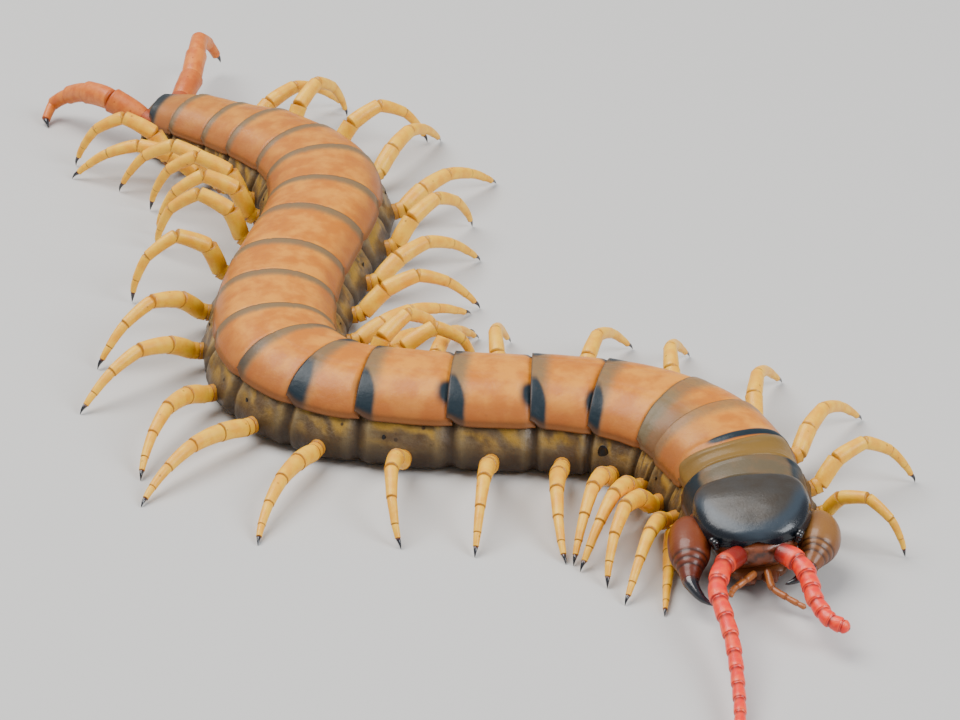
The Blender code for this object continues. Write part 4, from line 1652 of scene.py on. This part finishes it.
@dataclass(frozen=True)
class WalkingLegs:
    """Twenty pairs of jointed legs that stand on the floor with their claws."""

    finishes: Finishes
    articles: tuple = ((0.7, 0.82, 0.86), (2.9, 0.87, 0.90), (3.5, 0.86, 0.72), (3.45, 0.69, 0.54),
                       (2.6, 0.51, 0.40), (1.3, 0.38, 0.29), (1.0, 0.24, 0.16))
    bend: tuple = (0.0, 0.28, 0.68, 0.88, 0.96, 1.0)
    sizes: tuple = ((1, 0.77), (2, 0.91), (3, 0.97), (5, 0.96), (8, 0.95), (10, 0.99), (14, 1.02), (17, 1.05),
                    (20, 1.04))
    columns: int = 14
    hip_rise: float = 0.5
    hip_height: float = 1.8
    hip_root_height: float = 1.4
    hip_out: float = 0.61
    hip_in: float = 0.38
    hip_turn: float = 0.3
    hip_gap: float = 0.3
    hip_radii: tuple = (0.8736, 0.8268)
    claw_radius: float = 0.23
    low_leg: tuple = (Side.RIGHT, 1)
    low_leg_hip: float = 2.3
    low_leg_rises: tuple = (-12, -20, -3, -2, -3, -8, -30)
    first_guess: tuple = (0.5, 1.5)
    tries: int = 40
    nudge: float = 1e-5
    # Turn, reach and curl of each leg from the front
    right_stance: tuple = (
        (-79, 0.0, 0), (-58, 12.8, -9), (-51, 12.9, 26), (-25, 13.0, -12), (-12, 13.2, 0),
        (-12, 13.9, 22), (3, 13.2, -2), (-14, 12.7, 38), (-9, 14.6, 24), (-12, 14.8, 26),
        (-52, 14.3, 26), (-41, 13.9, 6), (-48, 12.9, 0), (-28, 9.5, 0), (0, 9.5, 0),
        (3, 10.0, 0), (36, 10.5, 0), (54, 12.0, 20), (58, 14.2, 12), (66, 11.0, 0))
    left_stance: tuple = (
        (-28, 8.0, 34), (9, 10.9, -36), (31, 13.4, -25), (28, 13.3, -42), (11, 13.1, -50),
        (-22, 12.8, -45), (-7, 12.6, -45), (-16, 13.4, -30), (-44, 9.0, 0), (0, 10.0, 0),
        (22, 14.9, 12), (39, 14.8, 4), (30, 12.9, 0), (53, 13.8, 4), (63, 12.2, 28),
        (44, 14.8, 6), (38, 14.5, 10), (-8, 12.0, 3), (10, 11.3, 2), (-8, 13.9, 6))

    def rises(self, lengths: np.ndarray, reach: float, drop: float) -> np.ndarray:
        """Rises that carry the foot to its place, found by Newton's method.

        Args:
            lengths: length of each article.
            reach: how far out the foot stands.
            drop: how far below the hip it stands.

        Returns:
            The rise of each article in degrees.
        """
        bend = np.array(self.bend)

        def posture(rise: float, fall: float) -> np.ndarray:
            """Rise of every article from the first one's rise and the whole fall."""
            return np.concatenate([[rise * self.hip_rise], rise - fall * bend])

        def miss(values: np.ndarray) -> np.ndarray:
            """How far the foot is from where it should be."""
            angles = posture(*values)
            return np.array((lengths @ np.cos(angles) - reach, lengths @ np.sin(angles) + drop))

        values = np.array(self.first_guess)
        for _ in range(self.tries):
            error = miss(values)
            moves = np.eye(2) * self.nudge
            slope = np.stack([(miss(values + move) - error) / self.nudge for move in moves], 1)
            if abs(np.linalg.det(slope)) < 1e-9:
                break
            values = values - np.linalg.solve(slope, error)
        return np.degrees(posture(*values))

    def limb(self, side: Side, number: int) -> Limb:
        """One leg's joints and sizes.

        Args:
            side: the animal's side.
            number: which leg, from the front.

        Returns:
            The leg, ready to be built.
        """
        station = PATH.stations(number - 0.5)
        heading = float(station.heading[0])
        width = float(station.width[0])
        size = float(along_pairs(self.sizes, number))
        stance = self.right_stance if side is Side.RIGHT else self.left_stance
        turn, reach, curl = stance[number - 1]
        outward = heading + SQUARE * side.sign
        hip_turn = turn * self.hip_turn
        depth = (self.hip_out - self.hip_in) * width
        low = (side, number) == self.low_leg
        height = self.low_leg_hip if low else self.hip_height * math.sqrt(width / PATH.full_width)
        end = station.point(side.sign * self.hip_out * width, height)
        end = end + flat_direction(heading) * depth * math.tan(math.radians(hip_turn))
        lengths = np.array([row[0] for row in self.articles]) * size
        rises = self.low_leg_rises if low else self.rises(lengths, reach, end[2])
        ways = [sloped_direction(outward - hip_turn * side.sign, rises[0])]
        curls = curl * (np.linspace(0, 1, len(rises) - 1) - 0.5)
        for rise, bent in zip(rises[1:], curls):
            ways.append(sloped_direction(outward - turn * side.sign + bent, rise))
        steps = np.array([way * length for way, length in zip(ways, lengths)])
        points = end + ways[0] * self.hip_gap + np.vstack([np.zeros(3), np.cumsum(steps, axis=0)])
        root = end - ways[0] * depth
        root[2] = max(root[2], self.hip_root_height)
        radii = [self.hip_radii] + [row[1:] for row in self.articles[:-1]]
        return Limb(root, points, tuple((near * size, far * size) for near, far in radii), self.columns,
                    self.claw_radius * size)

    def build(self) -> None:
        """Every walking leg."""
        for side in Side:
            for number in range(1, SEGMENTS):
                name = f"{side.value}_{number:02d}"
                self.limb(side, number).build(f"walking_leg_{name}", f"claw_{name}", f"leg_{name}", "leg",
                                              self.finishes.leg, self.finishes.claw)


@dataclass(frozen=True)
class LastLegs:
    """The thick last pair, carried off the floor to near its tips."""

    finishes: Finishes
    articles: tuple = ((4.1, 1.25, 1.40), (4.2, 1.20, 1.25), (3.6, 1.05, 1.00),
                       (2.8, 0.80, 0.72), (2.2, 0.60, 0.50), (1.1, 0.34, 0.18))
    columns: int = 18
    hip_height: float = 3.1
    hip_gap: float = 0.3
    hip_sink: float = 0.8
    hip_radii: tuple = (1.375, 1.3125)
    claw_radius: float = 0.34
    # Distance out and back of each hip and its length
    right_hip: tuple = (1.75, 0.0, 0.9)
    left_hip: tuple = (-1.9, -0.9, 2.1)
    right_rises: tuple = (22, -6, -22, -34, -30, -24)
    left_rises: tuple = (12, 14, 6, -31, -55, -60)
    right_headings: tuple = (155, 134, 134, 150, 250, 290)
    left_headings: tuple = (78, 86, 88, 72, 52, 40)

    def limb(self, side: Side) -> Limb:
        """One leg's joints and sizes.

        Args:
            side: the animal's side.

        Returns:
            The leg, ready to be built.
        """
        right = side is Side.RIGHT
        out, back, length = self.right_hip if right else self.left_hip
        headings = self.right_headings if right else self.left_headings
        rises = self.right_rises if right else self.left_rises
        station = PATH.stations(SEGMENTS)
        root = station.point(out, self.hip_height) + station.along[0] * back
        ways = [sloped_direction(heading, rise) for heading, rise in zip(headings, rises)]
        points = [root + ways[0] * (length + self.hip_gap)]
        for way, row in zip(ways, self.articles):
            points.append(points[-1] + way * row[0])
        radii = (self.hip_radii, *[row[1:] for row in self.articles[:-1]])
        return Limb(root - ways[0] * self.hip_sink, np.array(points), radii, self.columns, self.claw_radius)

    def build(self) -> None:
        """Both last legs."""
        for side in Side:
            name = side.value
            node = f"leg_{name}_{SEGMENTS:02d}"
            self.limb(side).build(f"last_leg_{name}", f"last_claw_{name}", node, "last_leg",
                                  self.finishes.last_leg, self.finishes.claw)


# Head


@dataclass(frozen=True)
class Head:
    """Head plate, capsule, jaw plate and eyes."""

    finishes: Finishes
    # Height of the head plate's middle, from its rear forwards
    crown: tuple = ((0.2, 7.45), (1.2, 7.65), (3.2, 7.5), (5.4, 6.9), (7.0, 6.2), (8.0, 5.6), (8.4, 5.3))
    rows: int = 46
    columns: int = 60
    under_columns: int = 16
    plate_rear: float = -0.05
    plate_length: float = 7.95
    half_width: float = 4.97
    widest: float = 3.0
    rear_reach: float = 5.2
    front_reach: float = 4.92
    oval_powers: tuple = (2.25, 0.46)
    full_half: float = 4.9
    arch: float = 1.75
    arch_power: float = 2.3
    smoothing: int = 7
    # Amount, begin and end of the top's fall at the rear and at the front
    end_falls: tuple = ((-0.35, 0.10, 0.0), (-0.45, 0.94, 1.0))
    hill_height: float = 0.05
    hill_size: float = 2.0
    hill_seed: int = 9
    thickness: float = 0.6
    full_thickness_half: float = 3.0
    least_thickness: float = 0.25
    edge_turn: tuple = (0.3, 0.65, 0.95)
    edge_swell: float = 0.10
    under_reach: float = 0.94
    # The border's fading part and its edge: strength and where each begins and ends
    border_from: float = 2.4
    border_reach: float = 5.9
    border_fade: tuple = (0.62, 0.58, 0.92)
    border_edge: tuple = (0.38, 0.86, 1.0)
    border_front: tuple = (0.0, 5.0)
    border_rear: float = 0.4
    # Distance forward, half width, low and high of each oval
    capsule: tuple = (
        (-0.6, 3.0, 1.8, 6.4), (0.15, 3.7, 1.5, 6.8), (1.4, 3.9, 1.4, 7.0), (4.2, 3.9, 1.4, 6.7),
        (6.4, 3.4, 1.8, 5.8), (7.4, 2.5, 2.5, 5.0), (8.1, 1.2, 3.1, 4.5), (8.25, 0.2, 3.6, 4.0))
    jaw: tuple = ((0.2, 3.4, 1.4, 2.8), (0.6, 3.8, 1.1, 3.0), (3.0, 3.6, 0.9, 3.0), (5.6, 3.0, 0.9, 2.6),
                  (7.2, 2.2, 1.0, 2.0), (7.4, 1.4, 1.3, 1.8))
    teeth: tuple = ((6.2, 0.5, 1.3, 1.9), (6.6, 0.8, 1.0, 2.1), (7.6, 0.75, 1.0, 1.8), (8.2, 0.5, 1.1, 1.5))
    tooth_out: float = 0.95
    oval_power: float = 0.8
    eye_place: tuple = (6.8, 3.35, 4.75)
    eye_radius: float = 0.34
    eye_out: float = 0.25
    eye_out_share: float = 0.3
    eye_rows: int = 14
    eye_columns: int = 18
    eye_pole: float = 0.05
    eyes: tuple = ((0.0, 0.42, 0.26), (0.50, -0.18, 0.30), (-0.42, 0.0, -0.30), (0.08, -0.46, -0.26))

    def shield(self) -> Shape:
        """The head plate: a domed oval shell with a rounded border.

        Returns:
            The shape with its mark border.
        """
        t = np.linspace(0, 1, self.rows)
        forward = self.plate_rear + t * self.plate_length
        reach = np.where(forward < self.widest, self.rear_reach, self.front_reach)
        inner, outer = self.oval_powers
        half = np.maximum(1 - np.abs((forward - self.widest) / reach) ** inner, 0.0) ** outer
        half = (self.half_width * half)[:, None]
        top = along_pairs(self.crown, forward)
        padded = np.pad(top, self.smoothing // 2, mode="edge")
        top = np.convolve(padded, np.ones(self.smoothing) / self.smoothing, mode="valid")
        top = (top + raised(t, 0.0, *self.end_falls))[:, None]
        forward = forward[:, None]

        def arched(places: np.ndarray) -> tuple[np.ndarray, np.ndarray]:
            """Distance out and height on the dome for places from -1 to 1 across it."""
            fall = self.arch * (half / self.full_half) * np.abs(places) ** self.arch_power
            return np.sin(places * math.pi / 2) * half, top - fall

        across, up = arched(np.linspace(-1, 1, self.columns))
        up += self.hill_height * hills_on((across, up, forward), self.hill_size, self.hill_seed)
        under, low = arched(np.linspace(self.under_reach, -self.under_reach, self.under_columns))
        turn = np.array(self.edge_turn)
        thick = self.thickness * np.clip(half / self.full_thickness_half, self.least_thickness, 1.0)
        rim_out = half + self.edge_swell * np.sin(turn * math.pi) * np.clip(half, 0, 1)
        rim_up = up[:, -1:] - thick * turn
        out = np.concatenate([across, rim_out, under, -rim_out[:, ::-1]], 1)
        high = np.concatenate([up, rim_up, low - thick, rim_up[:, ::-1]], 1)
        places = np.stack([np.broadcast_to(forward, out.shape), out, high], -1)
        edge = np.hypot(out / self.full_half, np.maximum(forward - self.border_from, 0) / self.border_reach)
        front = ease(*self.border_front, forward)
        rear = self.border_rear + (1 - self.border_rear) * front
        border = raised(edge, 0.0, self.border_fade) * front + raised(edge, 0.0, self.border_edge) * rear
        return Shape.loft(PATH.head_points(places), border=border)

    def ovals(self, rows: tuple, columns: int, middle: float = 0.0, samples: int = 30) -> Shape:
        """Smooth closed form through upright ovals.

        Args:
            rows: distance forward, half width, low and high of each oval.
            columns: points in a ring.
            middle: how far to the right the form lies.
            samples: how many rings it has.

        Returns:
            The shape.
        """
        forward, half, low, high = smooth_way(np.array(rows), samples).T[..., None]
        angle = around(columns)
        out = squared(np.cos(angle), self.oval_power) * np.maximum(half, 0.02) + middle
        up = (low + high) / 2 + squared(np.sin(angle), self.oval_power) * (high - low) / 2
        return Shape.loft(PATH.head_points(np.stack([np.broadcast_to(forward, out.shape), out, up], -1)))

    def eye_group(self, side: Side) -> Shape:
        """Four domed eyes.

        Args:
            side: the animal's side.

        Returns:
            The eyes as one shape.
        """
        centre = np.array(self.eye_place) * (1, side.sign, 1)
        theta = np.linspace(self.eye_pole, math.pi - self.eye_pole, self.eye_rows)[:, None]
        angle = around(self.eye_columns)
        ball = np.stack(np.broadcast_arrays(np.sin(theta) * np.cos(angle), np.sin(theta) * np.sin(angle),
                                            np.cos(theta)), -1) * self.eye_radius
        shapes = []
        for forward, out, up in self.eyes:
            place = centre + np.array((forward, side.sign * (self.eye_out + out * self.eye_out_share), up))
            shapes.append(Shape.loft(PATH.head_points(place + ball)))
        return Shape.together(shapes)

    def build(self) -> None:
        """All pieces of the head but its feelers, fangs and palps."""
        self.shield().made("head_plate", self.finishes.head, "head", "head")
        self.ovals(self.jaw, 32).made("jaw_plate", self.finishes.fangs[Side.LEFT], "head", "head")
        capsule = [self.ovals(self.capsule, 40, samples=44)]
        capsule += [self.ovals(self.teeth, 20, side.sign * self.tooth_out) for side in Side]
        Shape.together(capsule).made("head_underside", self.finishes.mouth, "head", "head")
        for side in Side:
            eyes = f"eyes_{side.value}"
            self.eye_group(side).made(f"{eyes}_domes", self.finishes.eye, "eye", eyes)


@dataclass(frozen=True)
class Fangs:
    """Poison fangs: swollen furrowed bases that end in curved black claws."""

    finishes: Finishes
    # Distance forward, right and up in the head's frame, and radius
    right_way: tuple = (
        (2.4, 5.2, 3.7, 1.00), (3.4, 5.8, 3.8, 1.35), (4.9, 6.0, 3.8, 1.45), (7.4, 6.2, 3.6, 1.35),
        (9.4, 6.3, 3.1, 1.10), (10.3, 6.1, 2.9, 0.85), (11.5, 5.3, 2.4, 0.55), (12.1, 4.2, 1.9, 0.15))
    left_way: tuple = (
        (2.3, -5.2, 3.1, 1.05), (3.4, -5.8, 3.1, 1.40), (5.2, -5.8, 3.1, 1.45), (7.2, -5.2, 2.9, 1.30),
        (8.6, -4.4, 2.6, 1.05), (9.2, -3.9, 2.5, 0.80), (9.9, -2.9, 2.3, 0.50), (10.1, -1.9, 2.1, 0.15))
    rows: int = 120
    columns: int = 32
    root_back: float = 1.3
    inward: float = 0.4
    inward_to: float = 0.6
    claw_from: float = 0.74
    claw_overlap: int = 4
    swell: float = 1.20
    belly: tuple = (0.10, 0.45, 0.25)
    neck: tuple = (0.50, 0.62, 1.0)
    furrows: tuple = (0.74, 0.80, 0.86)
    furrow_spread: float = 0.012
    furrow_depth: float = 0.045
    base_end: float = 0.995
    base_end_share: float = 0.75
    tip_edge: tuple = (0.6, 1.0)
    # The claw's radius as a share of the way's: at its root, beyond it, and its loss to the point
    claw_root: float = 0.05
    claw_root_share: float = 0.62
    claw_share: float = 0.70
    claw_slope: float = 0.1
    claw_point: tuple = (-0.9, 0.93, 1.0)

    def fang(self, side: Side) -> None:
        """Base and claw of one fang.

        Args:
            side: the animal's side.
        """
        knots = self.right_way if side is Side.RIGHT else self.left_way
        way = from_root(np.array(knots), self.root_back, self.rows)
        way[:, 1] -= side.sign * self.inward * ease(1.0, self.inward_to, np.linspace(0, 1, self.rows))
        world = PATH.head_points(way[:, :3])
        sideway, over = axes_along(world)
        angle = around(self.columns)[None, :, None]
        wheel = over[:, None] * np.sin(angle) + sideway[:, None] * np.cos(angle)
        name = side.value
        node = f"forcipule_{name}"

        split = int(self.rows * self.claw_from)
        t = np.linspace(0, 1, split)
        height, place, spread = self.belly
        slimming, start, end = self.neck
        form = self.swell + height * bell(t, place, spread) - slimming * ease(start, end, t)
        furrow = sum(bell(t, place, self.furrow_spread) for place in self.furrows)
        closing = np.where(t > self.base_end, self.base_end_share, 1.0)
        radius = way[:split, 3] * form * (1 - self.furrow_depth * furrow) * closing
        rings = world[:split, None] + wheel[:split] * radius[:, None, None]
        base = Shape.loft(rings, furrow=furrow[:, None], tip=ease(*self.tip_edge, t)[:, None],
                          top=np.sin(angle[..., 0]))
        base.made(f"fang_base_{name}", self.finishes.fangs[side], "fang", node)

        rest = slice(split - self.claw_overlap, self.rows)
        s = np.linspace(0, 1, self.rows - split + self.claw_overlap)
        share = np.where(s < self.claw_root, self.claw_root_share, self.claw_share - self.claw_slope * s)
        radius = way[rest, 3] * share * raised(s, 1.0, self.claw_point)
        rings = world[rest, None] + wheel[rest] * radius[:, None, None]
        Shape.loft(rings, along=s[:, None]).made(f"fang_claw_{name}", self.finishes.claw, "fang", node)

    def build(self) -> None:
        """Both fangs."""
        for side in Side:
            self.fang(side)


@dataclass(frozen=True)
class BeadedRodTree:
    """Geometry Nodes tree that turns a curve into a rod of swollen articles."""

    name: str = "beaded rod"
    steps_each: float = 20.0
    columns: int = 22
    bead: tuple = ((0.0, 0.0), (0.05, 0.30), (0.25, 0.60), (0.60, 0.88), (0.85, 1.0), (0.95, 0.80),
                   (1.0, 0.0))
    # The first article is this much longer than the rod's middle ones
    first_length: float = 1.6
    slowing: float = 1.1
    taper_power: float = 0.75
    tip_sharpness: float = 24.0
    tip_least: float = 0.15

    def made(self) -> bpy.types.NodeTree:
        """Build the tree with its named inputs.

        Returns:
            The node tree.
        """
        growth = Growth(self.name, Articles="Int", First_Radius="Float", Last_Radius="Float", Waist="Float")
        articles = growth.given("Articles")
        first = growth.given("First Radius")
        waist = growth.given("Waist")
        count = articles.maths("MULTIPLY_ADD", self.steps_each, 1.0)
        curve = growth.node("GeometryNodeResampleCurve", {}, Curve=growth.given("Geometry"), Count=count)
        factor = growth.node("GeometryNodeSplineParameter", {}, output="Factor")
        slope = self.slowing * (self.slowing - 2 * self.first_length)
        slower = factor.maths("MULTIPLY_ADD", slope, self.first_length ** 2).maths("SQRT")
        placed = (self.first_length - slower).maths("DIVIDE", self.slowing)
        part = (placed * (articles - 0.001)).maths("FRACT")
        swell = growth.node("ShaderNodeFloatCurve", {"points": self.bead}, Value=part)
        taper = factor.maths("POWER", self.taper_power)
        taper = taper.maths("MULTIPLY_ADD", growth.given("Last Radius") - first, first)
        full = swell.maths("MULTIPLY_ADD", 1.0 - waist, waist)
        tip = ((1.0 - factor) * self.tip_sharpness).maths("SQRT").maths("MINIMUM", 1.0)
        radius = taper * full * tip.maths("MAXIMUM", self.tip_least)
        for name, value in (("along", part), ("part", factor)):
            curve = growth.node("GeometryNodeStoreNamedAttribute", {"data_type": "FLOAT", "domain": "POINT"},
                                Geometry=curve, Name=name, Value=value)
        circle = growth.node("GeometryNodeCurvePrimitiveCircle", {}, Resolution=self.columns, Radius=1.0)
        return growth.done(growth.node("GeometryNodeCurveToMesh", {}, Curve=curve, Profile_Curve=circle,
                                       Scale=radius, Fill_Caps=True))


@dataclass(frozen=True)
class BeadedRod:
    """One feeler or palp: its way in the head's frame, its articles and its radii."""

    name: str
    node: str
    slot: str
    articles: int
    first_radius: float
    last_radius: float
    waist: float
    way: tuple
    root_back: float = 0.5
    samples: int = 160

    def build(self, tree: bpy.types.NodeTree, finish: bpy.types.Material) -> None:
        """Run the tree over the way.

        Args:
            tree: the Geometry Nodes tree.
            finish: the rod's finish.
        """
        points = PATH.head_points(from_root(np.array(self.way), self.root_back, self.samples))
        curve = bpy.data.curves.new(self.name, "CURVE")
        curve.dimensions = "3D"
        spline = curve.splines.new("POLY")
        spline.points.add(len(points) - 1)
        spline.points.foreach_set("co", np.hstack([points * MM, np.ones((len(points), 1))]).ravel())
        sizes = {"Articles": self.articles, "First Radius": self.first_radius * MM,
                 "Last Radius": self.last_radius * MM, "Waist": self.waist, "Finish": finish}
        grown(self.name, curve, tree, sizes, self.slot, self.node)


@dataclass(frozen=True)
class BeadedRods:
    """Feelers and palps: beaded rods that follow a smooth way from the head."""

    finishes: Finishes
    feelers: tuple = (
        BeadedRod("feeler_right", "antenna_right", "feeler", 18, 1.05, 0.36, 0.72, (
            (8.7, 2.1, 4.3), (10.0, 3.1, 4.5), (12.0, 3.7, 4.5), (13.8, 4.0, 4.2), (17.5, 3.6, 3.6),
            (20.3, 3.4, 3.0), (24.7, 3.5, 2.3), (29.0, 3.8, 1.8), (33.6, 4.6, 1.5), (37.6, 6.3, 1.3))),
        BeadedRod("feeler_left", "antenna_left", "feeler", 8, 1.05, 0.66, 0.72, (
            (8.8, -2.1, 4.3), (9.5, -2.8, 4.2), (10.8, -3.5, 3.9), (12.6, -3.8, 3.5),
            (14.2, -3.9, 3.2), (15.4, -4.3, 2.8), (16.8, -4.9, 2.5), (17.7, -6.4, 2.0))))
    palps: tuple = (
        BeadedRod("palp_right_beads", "palp_right", "palp", 4, 0.38, 0.26, 0.7, (
            (8.6, 0.8, 2.3), (9.3, 1.6, 2.2), (9.9, 2.4, 2.0), (10.7, 2.8, 1.8))),
        BeadedRod("palp_left_beads", "palp_left", "palp", 4, 0.38, 0.26, 0.7, (
            (8.7, -0.7, 2.2), (9.7, -0.9, 1.6), (10.8, -2.0, 1.2), (12.0, -3.4, 0.8))))

    def build(self) -> None:
        """Two feelers and two palps."""
        tree = BeadedRodTree().made()
        for rod in self.feelers:
            rod.build(tree, self.finishes.feeler)
        for rod in self.palps:
            rod.build(tree, self.finishes.palp)


# Stage


@dataclass(frozen=True)
class Lamp:
    """Soft square light that faces the model."""

    name: str
    place: tuple
    size: float
    power: float
    colour: tuple

    def build(self) -> None:
        """Place the light."""
        lamp = bpy.data.lights.new(self.name, "AREA")
        lamp.size = self.size
        lamp.energy = self.power
        lamp.color = self.colour
        stand = linked(self.name, lamp)
        stand.location = self.place
        stand.rotation_euler = (-Vector(self.place)).to_track_quat("-Z", "Y").to_euler()


@dataclass(frozen=True)
class Studio:
    """Plain pale floor, soft light and the camera."""

    camera_place: tuple = (4.30, -293.21, 156.9)
    camera_down: float = 28.0
    lens: float = 131.25
    sensor_width: float = 36.0
    clip_start: float = 0.01
    floor_half: float = 3.0
    sky: tuple = (0.90, 0.94, 1.0, 1.0)
    sky_strength: float = 0.44
    lamps: tuple = (Lamp("key", (-0.25, 0.10, 0.55), 0.50, 6.0, (1.0, 0.98, 0.95)),
                    Lamp("fill", (0.40, -0.25, 0.35), 0.30, 3.0, (0.92, 0.96, 1.0)))

    def build(self) -> None:
        """Place floor, sky, lights and camera."""
        half = self.floor_half
        mesh = bpy.data.meshes.new("floor")
        corners = [(-half, -half, 0), (half, -half, 0), (half, half, 0), (-half, half, 0)]
        mesh.from_pydata(corners, [], [(0, 1, 2, 3)])
        mesh.materials.append(FloorFinish().made())
        floor = linked("floor", mesh)
        world = bpy.data.worlds.new("soft sky")
        world.use_nodes = True
        sky = world.node_tree.nodes["Background"]
        sky.inputs["Color"].default_value = self.sky
        sky.inputs["Strength"].default_value = self.sky_strength
        bpy.context.scene.world = world
        for lamp in self.lamps:
            lamp.build()
        lens = bpy.data.cameras.new("camera")
        lens.lens = self.lens
        lens.sensor_width = self.sensor_width
        lens.clip_start = self.clip_start
        camera = linked("camera", lens)
        camera.location = Vector(self.camera_place) * MM
        camera.rotation_euler = (math.radians(SQUARE - self.camera_down), 0.0, 0.0)
        bpy.context.scene.camera = camera


def main() -> None:
    """Build every sub-assembly in order."""
    logging.basicConfig(level=logging.INFO, format="%(name)s %(message)s")
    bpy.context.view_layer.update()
    finishes = Finishes()
    Studio().build()
    for assembly in (Skin, Spiracles, BackPlates, WalkingLegs, LastLegs, Head, Fangs, BeadedRods):
        LOG.info("building %s", assembly.__name__)
        assembly(finishes).build()


if __name__ == "__main__":
    main()
